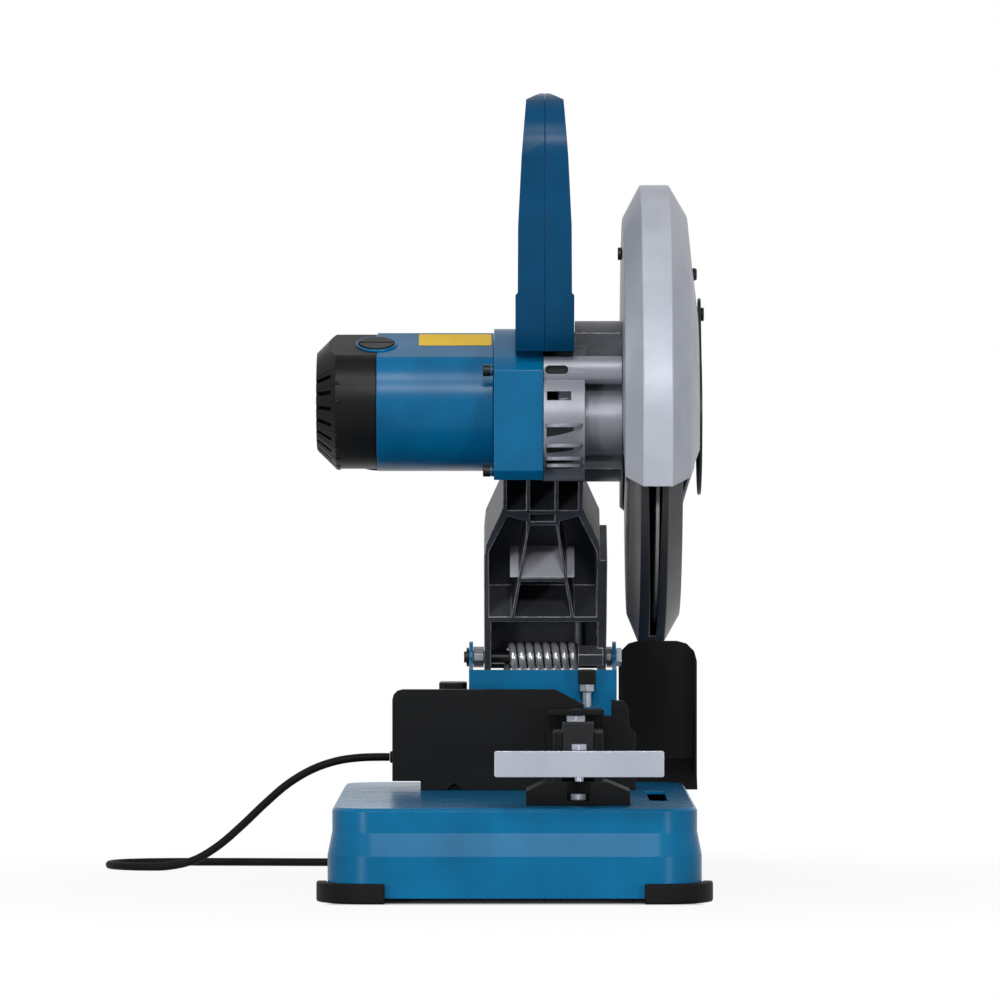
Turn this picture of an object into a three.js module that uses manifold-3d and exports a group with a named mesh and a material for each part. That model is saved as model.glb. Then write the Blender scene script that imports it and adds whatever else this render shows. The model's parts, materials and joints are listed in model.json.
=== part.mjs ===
// Abrasive chop saw, modelled in millimetres with +Z up.
// The operator stands at -Y and looks along +Y, and +X is the wheel side.
// The origin is on the ground, under the middle of the saw.
// The head is drawn raised, held up by its torsion spring.
import * as THREE from "three";
import { mergeVertices } from "three/addons/utils/BufferGeometryUtils.js";
import Module from "manifold-3d";

const wasm = await Module();
wasm.setup();

// Shared fits and allowances.
const gap = 0.3; // between faces that touch on the real saw
const running = 0.5; // between a turning piece and what it turns in
const overrun = 2; // how far a cut runs past the face it opens
const fine = 20; // sides of a large round
const coarse = 12; // sides of a small round
const cornerSteps = 3; // straight steps that make one small rounded corner
const baseSteps = 8; // straight steps that make one corner of the base
const mergeDistance = 1e-4; // how close two points are when they are one

// The stamped steel base.
const base = {
  length: 500,
  width: 306,
  top: 79,
  bottom: 4.2,
  sheet: 3,
  edgeRound: 2.5,
  cornerRadius: 34,
  bandBottom: 58.6,
  skirtTop: 39,
  flare: 3.9,
};
const baseHalfWidth = base.width / 2;
const baseHalfLength = base.length / 2;
const foot = { span: 58, height: 16.7, proud: 9.4, sole: 3.9 };

// The head's two axes: the pivot, from the base's rear edge, and the wheel, from the pivot.
const pivotInset = 15.5;
const pivot = { y: baseHalfLength - pivotInset, z: 192.5, shaftRadius: 6 };
const aheadOfPivot = { wheel: 196.5, bracket: 54.5, cordBox: 38.5, cord: 19.5 };
const behindPivot = { bracket: 11.5, cordBox: 3.5 };
const wheel = { x: 122, y: pivot.y - aheadOfPivot.wheel, z: 405.6, radius: 177.5, thick: 3.2, bore: 12.7 };
const aheadOfWheel = {
  slot: 149,
  collar: 48,
  handle: 86,
  pocket: 72,
  pocketBack: 22,
  switchFront: 71.5,
  switchBack: 58.5,
  button: 64,
  trigger: 52,
  rail: 44,
};
const behindWheel = { slot: 33, fence: 46, handle: 50, flange: 4 };
const slot = { centre: 123, width: 16, front: wheel.y - aheadOfWheel.slot, back: wheel.y + behindWheel.slot };

// The fence behind the workpiece, which turns about its right-hand bolt.
const fence = {
  left: -108,
  right: 106.8,
  face: wheel.y + behindWheel.fence,
  plate: 7,
  bottom: 8,
  height: 89,
  footLeft: -83,
  footDepth: 46,
  cornerRadius: 9,
  pivotX: 85,
  slotX: -55,
  boltBack: 30,
  swingBehind: 20,
  swingAhead: 8,
  reliefX: -53,
  reliefWidth: 20,
  reliefHeight: 6,
  ribShare: 0.8,
};
const fenceBolt = { radius: 5, head: 8.5, headHeight: 6 };

// The pivot bracket, its bushings and the torsion spring.
const bracket = {
  left: -41,
  right: 91.4,
  sheet: 3.4,
  front: pivot.y - aheadOfPivot.bracket,
  footThick: 5,
  plateTop: 103.5,
  earRadius: 14,
  notchLeft: 58,
  notchRight: 72,
  notchBottom: 91.7,
  footBack: pivot.y + behindPivot.bracket,
  boltInset: 16,
};
const bolt = { radius: 4, head: 7.4, headHeight: 5.3, below: 9 };
const bushing = { radius: 9.5 };
const spring = {
  wire: 3.2,
  radius: 10.8,
  left: -7,
  right: 57.5,
  curls: 7,
  steps: 8,
  sides: 5,
  tangDrop: 17.5,
};
const stopAhead = 14; // of the bracket's front plate
const stop = {
  x: 64.5,
  y: bracket.front - stopAhead,
  headTop: 183.4,
  headHeight: 20,
  headRadius: 7.2,
  radius: 4,
  bottom: 136,
  tabTop: 150,
  tabThick: 7,
  tabWidth: 20,
};

// The casting that carries the motor, drawn upright in its own leaning frame.
const lean = THREE.MathUtils.degToRad(34);
const arm = {
  centre: 25,
  front: -30,
  webBack: 20,
  back: 26,
  wall: 6,
  topHalf: 35.5,
  shoulderHalf: 50.8,
  legHalf: 52.4,
  legHalfRight: 57.4,
  webBottom: 60,
  shoulderBottom: 127,
  shoulder: 144,
  neck: 184,
  top: 238,
  bossRadius: 13,
  springBack: 16,
  rearBottom: -24,
  lugLeft: 57,
  lugBack: -16,
  lugLow: 12,
  lugHigh: 24,
};

// The wheel's spindle and the reduction gears.
const gears = { module: 1.5, wheelTeeth: 50, pinionTeeth: 10, thick: 13, left: 38, play: 0.36, bore: 8 };
const spindle = { radius: 8, left: 29, nose: 12.4, flange: 38, flangeThick: 11, boltRadius: 5 };
const arborBolt = { head: 10.5, headHeight: 8, length: 22 };

// The motor. Its axis is set off from the wheel axis by the gears' centre distance.
const gearDistance = (gears.module * (gears.wheelTeeth + gears.pinionTeeth)) / 2;
const offsetAngle = THREE.MathUtils.degToRad(21.3);
const motor = {
  y: wheel.y + gearDistance * Math.cos(offsetAngle),
  z: wheel.z + gearDistance * Math.sin(offsetAngle),
  radius: 61.5,
  capRadius: 59.5,
  bore: 49.5,
  left: -173.9,
  chamfer: 17,
  capSeam: -121.2,
  seam: -18.2,
  facet: 52.8,
  facetTilt: THREE.MathUtils.degToRad(69.5),
  wall: 3.5,
};
const rotor = {
  shaft: 5,
  left: -168,
  right: 52,
  core: 23,
  coreLeft: -108,
  coreRight: -42,
  commutator: 14,
  commutatorLeft: -130,
  commutatorRight: -113,
  fan: 44,
  fanHub: 12,
  fanLeft: -14,
  fanDisc: 2.5,
  fanRight: 3,
  blades: 9,
  bladeThick: 3,
};
const stator = { left: -104, right: -46, airGap: 0.8 };
const bearing = { wide: 9, outer: 13, spindleOuter: 17.5, spindleWide: 14 };
const collar = {
  front: wheel.y - aheadOfWheel.collar,
  bottom: 352.7,
  shoulder: 448,
  brow: 460,
  bevel: 8,
  radius: 64,
  fromAngle: -75,
  toAngle: 115,
  cavity: 50,
  screwRadius: 4.6,
  screwOut: 8.5,
};
const capVents = { count: 24, width: 3.4, facetHalf: THREE.MathUtils.degToRad(36) };
const brushCap = { x: -121.4, radius: 15.5, height: 2, rearSeat: 57.2, shank: 8, slotWidth: 2.6, slotDepth: 1.2 };

// The gear housing in front of the wheel guard.
const gearbox = {
  left: 25.1,
  right: 61,
  wall: 4,
  radius: 54,
  motorRadius: 61,
  motorFromAngle: -80,
  motorToAngle: 105,
  wheelFromAngle: 120,
  wheelToAngle: 270,
  bossRadius: 32.6,
  bossRight: 93.7,
  spigotRadius: 30,
  spigotRight: 103.5,
  intakeLeft: 28,
  intakeRight: 49,
  intakeLow: 421.9,
  intakeHigh: 429.8,
  railFront: wheel.y - aheadOfWheel.rail,
  railLow: 436.2,
  railHigh: 460.6,
  railRound: 9,
  slotLeft: 26.5,
  slotRight: 46.5,
  slotHeight: 7.4,
  slotDepth: 8,
  flangeFront: wheel.y + behindWheel.flange,
  flangeLeft: 53,
  flangeRight: 93.4,
  flangeRadius: 70.8,
};

// The two wheel guards. Angles run from straight ahead, downwards and to the rear.
const upperGuard = {
  left: 94,
  right: 150,
  sheet: 3,
  room: 27.5,
  bevel: 29,
  rimLeft: 109,
  rimRight: 134,
  bulge: 159.5,
  bulgeRadius: 96,
  bulgeStart: 133,
  eye: 62,
  frontAngle: 16.6,
  rearAngle: 153.7,
  steps: 32,
};
const lowerGuard = {
  left: 98,
  right: 143.5,
  sheet: 2.2,
  play: 8,
  bevel: 23,
  rimLeft: 107.5,
  rimRight: 130.5,
  eye: 58,
  frontAngle: 9,
  rearAngle: 160,
  steps: 24,
  slotLeft: 112.5,
  slotRight: 127,
  slotTaper: 4,
  slotShare: 0.86,
};
const upperRim = wheel.radius + upperGuard.room;
const upperShoulder = upperRim - upperGuard.bevel;
const lowerRim = upperRim - upperGuard.sheet - lowerGuard.play;
const lowerShoulder = lowerRim - lowerGuard.bevel;

// The D-shaped handle, seen from the side. Heights are above the base.
const handle = {
  centre: 26.1,
  crownHalf: 4,
  topHalf: 16.2,
  bendHalf: 20.2,
  midHalf: 23.2,
  footHalf: 25.5,
  bottom: 385.5,
  collar: 433.6,
  brow: 603.5,
  top: 610,
  bend: 553,
  front: wheel.y - aheadOfWheel.handle,
  back: wheel.y + behindWheel.handle,
  steps: 44,
  gapSteps: 32,
  pocketHalf: 9.5,
  pocketFront: wheel.y - aheadOfWheel.pocket,
  pocketBack: wheel.y - aheadOfWheel.pocketBack,
  pocketLow: 567,
  pocketHigh: 651,
};
const trigger = {
  half: 8.5,
  pivotY: wheel.y - aheadOfWheel.trigger,
  pivotZ: 641,
  pinRadius: 2.5,
  pinReach: 3,
  deep: 31,
  tall: 73,
};
const switchBlock = {
  front: wheel.y - aheadOfWheel.switchFront,
  back: wheel.y - aheadOfWheel.switchBack,
  low: 570,
  high: 609,
};
const lockButton = { y: wheel.y - aheadOfWheel.button, z: 625, radius: 4.6, sunk: 0.8, travel: 3 };
const cover = { left: 160, thick: 2.6, radius: 66, pivotRadius: 92, lobe: 14, spread: 34, screw: 3, head: 6 };
const guardScrew = { radius: 145, shank: 3, head: 5.6, headHeight: 3.6 };

// The quick-release vise.
const viseInset = 52; // from the base's front edge
const vise = {
  x: 53.5,
  z: 38.5,
  radius: 8,
  front: -baseHalfLength + viseInset,
  depth: 68,
  footLeft: 9.5,
  footRight: 97.3,
  footHeight: 12,
  innerLeft: 25.5,
  innerRight: 77.6,
  deck: 20,
  cheek: 7.5,
  cheekInner: 13.5,
  cheekTop: 61,
  cheekInset: 8,
  recess: 19,
  recessFloor: 4,
  guideDepth: 20,
  guideTop: 58,
  nutLength: 38,
  nutTop: 69,
  nutFoot: 28,
  pinRadius: 3,
  pinHeight: 60,
  pinInset: 5,
};
const barAhead = 87; // of the vise bracket, with the vise open for the rest pose
const screw = {
  bar: 140.7,
  barHeight: 21.5,
  barThick: 10,
  barFront: vise.front - barAhead,
  hub: 17,
  hubRadius: 10.6,
  corner: 1.6,
};
const crossBolt = { radius: 3, head: 6.9, headHeight: 5, tail: 3.5, tailHeight: 4.2 };
const mouth = 16; // between jaw and fence
const jaw = {
  width: 49.5,
  face: fence.face - mouth,
  plate: 9,
  cap: 5,
  top: 73,
  bottom: 4,
  depth: 40,
  boltBack: 22,
  boltRadius: 5,
  collarRadius: 9.3,
  collarHeight: 7,
};
const yoke = { half: 12, length: 28, bottom: 20, top: 60.4, neck: 5.5, neckLength: 15 };

// The spark guard behind the wheel.
const spark = {
  inset: 36,
  tab: 22.5,
  width: 71,
  sheet: 2.5,
  foot: 60,
  bend: 72,
  bendTop: 98,
  reach: 34,
  top: 206,
  topRound: 18,
  flange: 18,
  screwZ: 65.8,
  screwInset: 6,
};
const sparkTabRight = baseHalfWidth - spark.inset;
const sparkLeft = sparkTabRight - spark.tab;
const sparkRight = sparkLeft + spark.width;
const strip = { radius: 2.5, head: 4.6, headHeight: 3.4, thick: 2, half: 5.5 };

// The supply cord, its box on the base, and the length put away behind the saw.
const cordBox = {
  left: -68,
  right: -43,
  front: pivot.y - aheadOfPivot.cordBox,
  back: pivot.y + behindPivot.cordBox,
  height: 91.7,
  bevel: 3,
};
const cord = {
  radius: 3.6,
  sides: 8,
  exitHeight: 103,
  y: pivot.y - aheadOfPivot.cord,
  relief: 44,
  reliefRoot: 8.5,
  reliefTip: 5.2,
};
const coil = {
  x: -45,
  y: 350,
  turns: 6,
  steps: 24,
  sides: 6,
  middle: 41,
  spacing: 8.1,
  layer: 8.2,
  lead: 44,
};
const plug = { relief: 26, body: 38, half: 14, height: 23.6, pin: 2.4, pinLength: 19, pinSpread: 9.5 };

// Turns a closed three.js geometry into a solid that can be cut and joined.
function solid(geometry) {
  const plain = geometry.index ? geometry.toNonIndexed() : geometry.clone();
  for (const name of Object.keys(plain.attributes)) {
    if (name !== "position") plain.deleteAttribute(name);
  }
  const merged = mergeVertices(plain, mergeDistance);
  const corners = [];
  const index = merged.index.array;
  for (let at = 0; at < index.length; at += 3) {
    const [first, second, third] = index.slice(at, at + 3);
    if (first !== second && second !== third && third !== first) corners.push(first, second, third);
  }
  const places = new Float32Array(merged.attributes.position.array);
  const shape = manifold(places, corners);
  return shape.volume() > 0 ? shape : manifold(places, corners.reverse());
}

function manifold(vertProperties, corners) {
  const triVerts = new Uint32Array(corners);
  return new wasm.Manifold(new wasm.Mesh({ numProp: 3, vertProperties, triVerts }));
}

// Names a solid and gives it its material, as one mesh of the model.
function piece(name, shape, material) {
  const data = shape.getMesh();
  const geometry = new THREE.BufferGeometry();
  geometry.setAttribute("position", new THREE.BufferAttribute(new Float32Array(data.vertProperties), 3));
  geometry.setIndex(new THREE.BufferAttribute(new Uint32Array(data.triVerts), 1));
  geometry.computeVertexNormals();
  const mesh = new THREE.Mesh(geometry, material);
  mesh.name = name;
  return mesh;
}

// A box between two corners.
function block(x0, x1, y0, y1, z0, z1) {
  const geometry = new THREE.BoxGeometry(x1 - x0, y1 - y0, z1 - z0);
  geometry.translate((x0 + x1) / 2, (y0 + y1) / 2, (z0 + z1) / 2);
  return solid(geometry);
}

// An outline of points, or a ready shape, extruded from zero to a depth.
function extruded(outline, depth) {
  const flat = (points) => new THREE.Shape(points.map(([u, v]) => new THREE.Vector2(u, v)));
  const shape = Array.isArray(outline) ? flat(outline) : outline;
  return new THREE.ExtrudeGeometry(shape, { depth, bevelEnabled: false, curveSegments: cornerSteps });
}

// An outline in X and Y, raised from z0 to z1.
function slabZ(outline, z0, z1) {
  const geometry = extruded(outline, z1 - z0);
  geometry.translate(0, 0, z0);
  return solid(geometry);
}

// An outline in Y and Z, carried from x0 to x1.
function slabX(outline, x0, x1) {
  const geometry = extruded(outline, x1 - x0);
  geometry.applyMatrix4(new THREE.Matrix4().set(0, 0, 1, x0, 1, 0, 0, 0, 0, 1, 0, 0, 0, 0, 0, 1));
  return solid(geometry);
}

// An outline in X and Z, carried from y0 to y1.
function slabY(outline, y0, y1) {
  const geometry = extruded(outline, y1 - y0);
  geometry.rotateX(Math.PI / 2);
  geometry.translate(0, y1, 0);
  return solid(geometry);
}

// A turned shape: its profile gives pairs of distance along the axis and radius.
function turned(profile, direction, centre, sides = coarse) {
  const points = profile.map(([along, radius]) => new THREE.Vector2(radius, along));
  const geometry = new THREE.LatheGeometry(points, sides);
  const up = new THREE.Vector3(0, 1, 0);
  geometry.applyQuaternion(new THREE.Quaternion().setFromUnitVectors(up, direction));
  geometry.translate(centre.x, centre.y, centre.z);
  return solid(geometry);
}

const alongX = new THREE.Vector3(1, 0, 0);
const alongY = new THREE.Vector3(0, 1, 0);
const alongZ = new THREE.Vector3(0, 0, 1);

// A plain round bar. The centre gives the two places across the axis.
function rod(direction, centre, radius, from, to, sides = coarse) {
  return turned([[from, 0], [from, radius], [to, radius], [to, 0]], direction, centre, sides);
}

// A bush or washer: a round bar with a bore.
function ring(direction, centre, inner, outer, from, to, sides = coarse) {
  const profile = [[from, inner], [from, outer], [to, outer], [to, inner], [from, inner]];
  return turned(profile, direction, centre, sides);
}

// A bolt head or nut: six sides, with a small crown.
function hexagon(direction, centre, radius, from, to) {
  return turned([[from, 0], [from, radius], [to, radius], [to, 0]], direction, centre, 6);
}

// The points of a rectangle with rounded corners, anticlockwise.
function roundedBox(u0, u1, v0, v1, radius, steps = cornerSteps) {
  const points = [];
  const [left, right] = [u0 + radius, u1 - radius];
  const [low, high] = [v0 + radius, v1 - radius];
  const centres = [[right, low], [right, high], [left, high], [left, low]];
  centres.forEach(([u, v], corner) => {
    for (let step = 0; step <= steps; step += 1) {
      const angle = ((corner - 1 + step / steps) * Math.PI) / 2;
      points.push([u + radius * Math.cos(angle), v + radius * Math.sin(angle)]);
    }
  });
  return points;
}

// A closed body through a stack of rings, each a list of as many points, capped at both ends.
function loft(rings) {
  const count = rings[0].length;
  const place = [];
  const corner = (ringIndex, at) => place.push(...rings[ringIndex][at % count].toArray());
  for (let level = 0; level + 1 < rings.length; level += 1) {
    for (let at = 0; at < count; at += 1) {
      corner(level, at);
      corner(level, at + 1);
      corner(level + 1, at + 1);
      corner(level, at);
      corner(level + 1, at + 1);
      corner(level + 1, at);
    }
  }
  const last = rings.length - 1;
  for (const [level, cap] of [[0, capOf(rings[0])], [last, capOf(rings[last])]]) {
    for (const [first, second, third] of cap) {
      const order = level === 0 ? [first, third, second] : [first, second, third];
      order.forEach((at) => corner(level, at));
    }
  }
  const geometry = new THREE.BufferGeometry();
  geometry.setAttribute("position", new THREE.BufferAttribute(new Float32Array(place), 3));
  return solid(geometry);
}

// The triangles that close a flat ring, found in the ring's own plane.
function capOf(points) {
  const sum = points.reduce((total, point) => total.add(point), new THREE.Vector3());
  const middle = sum.divideScalar(points.length);
  const across = points[0].clone().sub(middle).normalize();
  const normal = new THREE.Vector3();
  points.forEach((point, at) => {
    const next = points[(at + 1) % points.length];
    normal.add(point.clone().sub(middle).cross(next.clone().sub(middle)));
  });
  normal.normalize();
  const up = normal.clone().cross(across);
  const flat = points.map((point) => {
    const from = point.clone().sub(middle);
    return new THREE.Vector2(from.dot(across), from.dot(up));
  });
  return THREE.ShapeUtils.triangulateShape(flat, []);
}

// A guard's section, in pairs of X and radius, carried round an axis along X.
// Angles run from straight ahead (-Y), downwards and on to the rear.
function swept(section, centre, fromDegrees, toDegrees, steps) {
  const rings = [];
  for (let step = 0; step <= steps; step += 1) {
    const angle = THREE.MathUtils.degToRad(fromDegrees + ((toDegrees - fromDegrees) * step) / steps);
    rings.push(
      section.map(([x, radius]) => {
        const y = centre.y - radius * Math.cos(angle);
        return new THREE.Vector3(x, y, centre.z - radius * Math.sin(angle));
      }),
    );
  }
  return loft(rings);
}

// A round bar along a path, with its ends square to it.
function bar(path, radius, steps, sides) {
  const section = new THREE.Shape();
  for (let side = 0; side < sides; side += 1) {
    const angle = (side / sides) * Math.PI * 2;
    const point = [radius * Math.cos(angle), radius * Math.sin(angle)];
    if (side === 0) section.moveTo(...point);
    else section.lineTo(...point);
  }
  section.closePath();
  return solid(new THREE.ExtrudeGeometry(section, { steps, bevelEnabled: false, extrudePath: path }));
}

// A wound form: one unbroken tube of a few sides through a list of places.
function wound(places, radius, sides) {
  const rings = places.map((place, at) => {
    const before = places[Math.max(at - 1, 0)];
    const after = places[Math.min(at + 1, places.length - 1)];
    const along = after.clone().sub(before).normalize();
    return { place, along };
  });
  let across = rings[0].along.clone().cross(alongZ).normalize();
  return loft(
    rings.map(({ place, along }) => {
      across = across.clone().addScaledVector(along, -across.dot(along)).normalize();
      const up = along.clone().cross(across);
      return Array.from({ length: sides }, (_, side) => {
        const angle = (side / sides) * Math.PI * 2;
        const out = across.clone().multiplyScalar(Math.cos(angle)).addScaledVector(up, Math.sin(angle));
        return place.clone().addScaledVector(out, radius);
      });
    }),
  );
}

// The least gap between the surfaces of a tube's own passes, measured on its centre points.
function leastGap(places, radius, skipped) {
  let least = Infinity;
  places.forEach((place, at) => {
    for (let other = at + skipped; other + 1 < places.length; other += 1) {
      const line = new THREE.Line3(places[other], places[other + 1]);
      const near = line.closestPointToPoint(place, true, new THREE.Vector3());
      least = Math.min(least, near.distanceTo(place) - 2 * radius);
    }
  });
  return least;
}

function join(...shapes) {
  return shapes.reduce((sum, shape) => sum.add(shape));
}

function spot(x, y, z) {
  return new THREE.Vector3(x, y, z);
}

// Finishes. Colours are as photographed, and the scene refines them.
function finish(color, roughness, metalness) {
  return new THREE.MeshStandardMaterial({ color, roughness, metalness });
}

const bluePaint = finish(0x1f6fa8, 0.45, 0.1);
const darkBluePlastic = finish(0x1c3f6b, 0.5, 0);
const blackPaint = finish(0x1b1d20, 0.5, 0.1);
const blackPlastic = finish(0x17181a, 0.6, 0);
const rubber = finish(0x141414, 0.9, 0);
const castGrey = finish(0x3a3d42, 0.6, 0.3);
const guardSilver = finish(0xa9adb3, 0.45, 0.6);
const guardDark = finish(0x44474c, 0.5, 0.5);
const castSilver = finish(0xb4b8bf, 0.4, 0.7);
const steel = finish(0xb9bec9, 0.3, 0.9);
const springSteel = finish(0xd0d3d8, 0.2, 1);
const abrasive = finish(0xb9b2a4, 0.95, 0);
const copper = finish(0xa8623a, 0.4, 0.8);

const baseOuter = base.flare;

// The base's outline, grown outwards by some amount, at one height.
function baseOutline(grow) {
  const w = baseHalfWidth + grow;
  const l = baseHalfLength + grow;
  return roundedBox(-w, w, -l, l, base.cornerRadius + grow, baseSteps);
}

function baseRing(grow, z) {
  return baseOutline(grow).map(([x, y]) => spot(x, y, z));
}

// Where bolts go down through the top of the base.
const bracketBolts = [];
for (const x of [bracket.left + bracket.boltInset, bracket.right - bracket.boltInset]) {
  for (const y of [bracket.front + bracket.boltInset, bracket.footBack - bracket.boltInset]) {
    bracketBolts.push([x, y]);
  }
}
const viseBoltY = vise.front + vise.guideDepth / 2;
const fencePivot = { x: fence.pivotX, y: fence.face + fence.boltBack };
const fenceSlotRadius = fence.pivotX - fence.slotX;

// A curved slot round a centre, as an outline. Angles are in degrees from +X.
function arcSlot(centre, radius, halfWidth, fromDegrees, toDegrees) {
  const points = [];
  const steps = fine / 2;
  for (const [r, sign] of [[radius + halfWidth, 1], [radius - halfWidth, -1]]) {
    for (let step = 0; step <= steps; step += 1) {
      const share = sign > 0 ? step / steps : 1 - step / steps;
      const angle = THREE.MathUtils.degToRad(fromDegrees + (toDegrees - fromDegrees) * share);
      points.push([centre.x + r * Math.cos(angle), centre.y + r * Math.sin(angle)]);
    }
  }
  return points;
}

// The pressed base: a tray upside down, with a slot for the wheel and a curved one for the fence.
function basePlate() {
  const outer = loft([
    baseRing(baseOuter, base.bottom),
    baseRing(baseOuter, base.skirtTop),
    baseRing(0, base.bandBottom),
    baseRing(0, base.top - base.edgeRound),
    baseRing(-base.edgeRound, base.top),
  ]);
  const inner = loft([
    baseRing(baseOuter - base.sheet, base.bottom - overrun),
    baseRing(baseOuter - base.sheet, base.skirtTop - base.sheet / 2),
    baseRing(-base.sheet, base.bandBottom - base.sheet / 2),
    baseRing(-base.sheet, base.top - base.sheet),
  ]);
  const low = base.top - base.sheet - overrun;
  const high = base.top + overrun;
  const [slotLeft, slotRight] = [slot.centre - slot.width / 2, slot.centre + slot.width / 2];
  const cuts = [block(slotLeft, slotRight, slot.front, slot.back, low, high)];
  const hole = (x, y, radius) => cuts.push(rod(alongZ, spot(x, y, 0), radius + gap, low, high));
  bracketBolts.forEach(([x, y]) => hole(x, y, bolt.radius));
  hole(vise.x, viseBoltY, bolt.radius);
  hole(fencePivot.x, fencePivot.y, fenceBolt.radius);
  const half = fenceBolt.radius + running;
  const end = THREE.MathUtils.radToDeg(Math.asin(half / fenceSlotRadius));
  const [from, to] = [180 - fence.swingBehind - end, 180 + fence.swingAhead + end];
  cuts.push(
    ...sparkHoles(baseHalfLength - base.sheet - overrun, baseHalfLength + overrun),
    slabZ(arcSlot(fencePivot, fenceSlotRadius, half, from, to), low, high),
  );
  return outer.subtract(join(inner, ...cuts));
}

// The two screw holes, or screws, of the spark guard, through the rear wall.
function sparkHoles(from, to, radius = strip.radius + gap) {
  return [sparkLeft + spark.screwInset, sparkTabRight - spark.screwInset].map((x) =>
    rod(alongY, spot(x, 0, spark.screwZ), radius, from, to),
  );
}

// A rubber foot wraps one corner of the base and carries its lower edge on a sole.
function cornerFoot(signX, signY) {
  const reach = baseOuter + foot.proud;
  const whole = slabZ(baseOutline(reach), 0, foot.height);
  const x = signX * (baseHalfWidth + reach);
  const y = signY * (baseHalfLength + reach);
  const inX = x - signX * foot.span;
  const inY = y - signY * foot.span;
  const corner = block(
    Math.min(x, inX),
    Math.max(x, inX),
    Math.min(y, inY),
    Math.max(y, inY),
    0,
    foot.height,
  );
  const seat = slabZ(baseOutline(baseOuter + gap), foot.sole, foot.height + overrun);
  return whole.intersect(corner).subtract(seat);
}

// Four studs on one plate under the base hold the bracket, with their nuts on top.
function bracketStuds() {
  const under = base.top - base.sheet - gap;
  const seat = base.top + bracket.footThick + gap;
  const [first, , , last] = bracketBolts;
  const rim = bolt.head + gap;
  const plate = block(
    first[0] - rim,
    last[0] + rim,
    first[1] - rim,
    last[1] + rim,
    under - bracket.sheet,
    under,
  );
  const studs = bracketBolts.map(([x, y]) =>
    join(
      rod(alongZ, spot(x, y, 0), bolt.radius, under - bracket.sheet / 2, seat + bolt.headHeight + overrun),
      hexagon(alongZ, spot(x, y, 0), bolt.head, seat, seat + bolt.headHeight),
    ),
  );
  return join(plate, ...studs);
}

// A bolt through a plate: head above, shank below, standing on the plate's top.
function plateBolt([x, y], top, sizes, below) {
  const centre = spot(x, y, 0);
  const seat = top + gap;
  return join(
    hexagon(alongZ, centre, sizes.head, seat, seat + sizes.headHeight),
    rod(alongZ, centre, sizes.radius, top - below, seat + sizes.headHeight / 2),
  );
}

// The pivot bracket: a foot, a front plate, two ears and a tab for the stop screw.
function pivotBracket() {
  const earOutline = [
    [bracket.front, base.top],
    [bracket.footBack, base.top],
  ];
  for (let step = 0; step <= coarse / 2; step += 1) {
    const angle = (step / (coarse / 2)) * Math.PI;
    earOutline.push([
      pivot.y + bracket.earRadius * Math.cos(angle),
      pivot.z + bracket.earRadius * Math.sin(angle),
    ]);
  }
  earOutline.push([bracket.front, base.top + bracket.plateTop]);
  const top = base.top + bracket.plateTop;
  const notchFoot = base.top + bracket.notchBottom;
  const plate = slabY(
    [
      [bracket.left, base.top],
      [bracket.right, base.top],
      [bracket.right, top],
      [bracket.notchRight, top],
      [bracket.notchRight, notchFoot],
      [bracket.notchLeft, notchFoot],
      [bracket.notchLeft, top],
      [bracket.left, top],
    ],
    bracket.front,
    bracket.front + bracket.sheet,
  );
  const tabHalf = stop.tabWidth / 2;
  const tab = block(
    stop.x - tabHalf,
    stop.x + tabHalf,
    stop.y - tabHalf,
    bracket.front + bracket.sheet / 2,
    stop.tabTop - stop.tabThick,
    stop.tabTop,
  );
  const body = join(
    block(
      bracket.left,
      bracket.right,
      bracket.front,
      bracket.footBack,
      base.top,
      base.top + bracket.footThick,
    ),
    plate,
    slabX(earOutline, bracket.left, bracket.left + bracket.sheet),
    slabX(earOutline, bracket.right - bracket.sheet, bracket.right),
    tab,
  );
  const across = spot(0, pivot.y, pivot.z);
  const cuts = [
    rod(alongX, across, pivot.shaftRadius + gap, bracket.left - overrun, bracket.right + overrun),
    rod(
      alongZ,
      spot(stop.x, stop.y, 0),
      stop.radius + gap,
      stop.tabTop - stop.tabThick - overrun,
      stop.tabTop + overrun,
    ),
  ];
  for (const [x, y] of bracketBolts) {
    const high = base.top + bracket.footThick + overrun;
    cuts.push(rod(alongZ, spot(x, y, 0), bolt.radius + gap, base.top - overrun, high));
  }
  return body.subtract(join(...cuts));
}

const armLeft = arm.centre - arm.legHalf;
const armRight = arm.centre + arm.legHalfRight;
const shaftHead = { radius: 5.2, height: 4.5 };
const shaftNut = { radius: 8.4, height: 5 };

function pivotShaft() {
  const across = spot(0, pivot.y, pivot.z);
  const left = bracket.left - gap;
  return join(
    rod(
      alongX,
      across,
      pivot.shaftRadius,
      left - shaftHead.height / 2,
      bracket.right + gap + shaftNut.height,
    ),
    rod(alongX, across, shaftHead.radius, left - shaftHead.height, left),
    rod(alongX, across, pivot.shaftRadius + shaftHead.radius / 2, left - shaftHead.height / 2, left),
  );
}

function pivotNut() {
  const across = spot(0, pivot.y, pivot.z);
  const from = bracket.right + gap;
  const blank = hexagon(alongX, across, shaftNut.radius, from, from + shaftNut.height - gap);
  return blank.subtract(
    rod(alongX, across, pivot.shaftRadius + gap, from - overrun, from + shaftNut.height + overrun),
  );
}

function pivotBushing(from, to) {
  const across = spot(0, pivot.y, pivot.z);
  return ring(alongX, across, pivot.shaftRadius + gap, bushing.radius, from, to, fine / 2);
}

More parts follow.
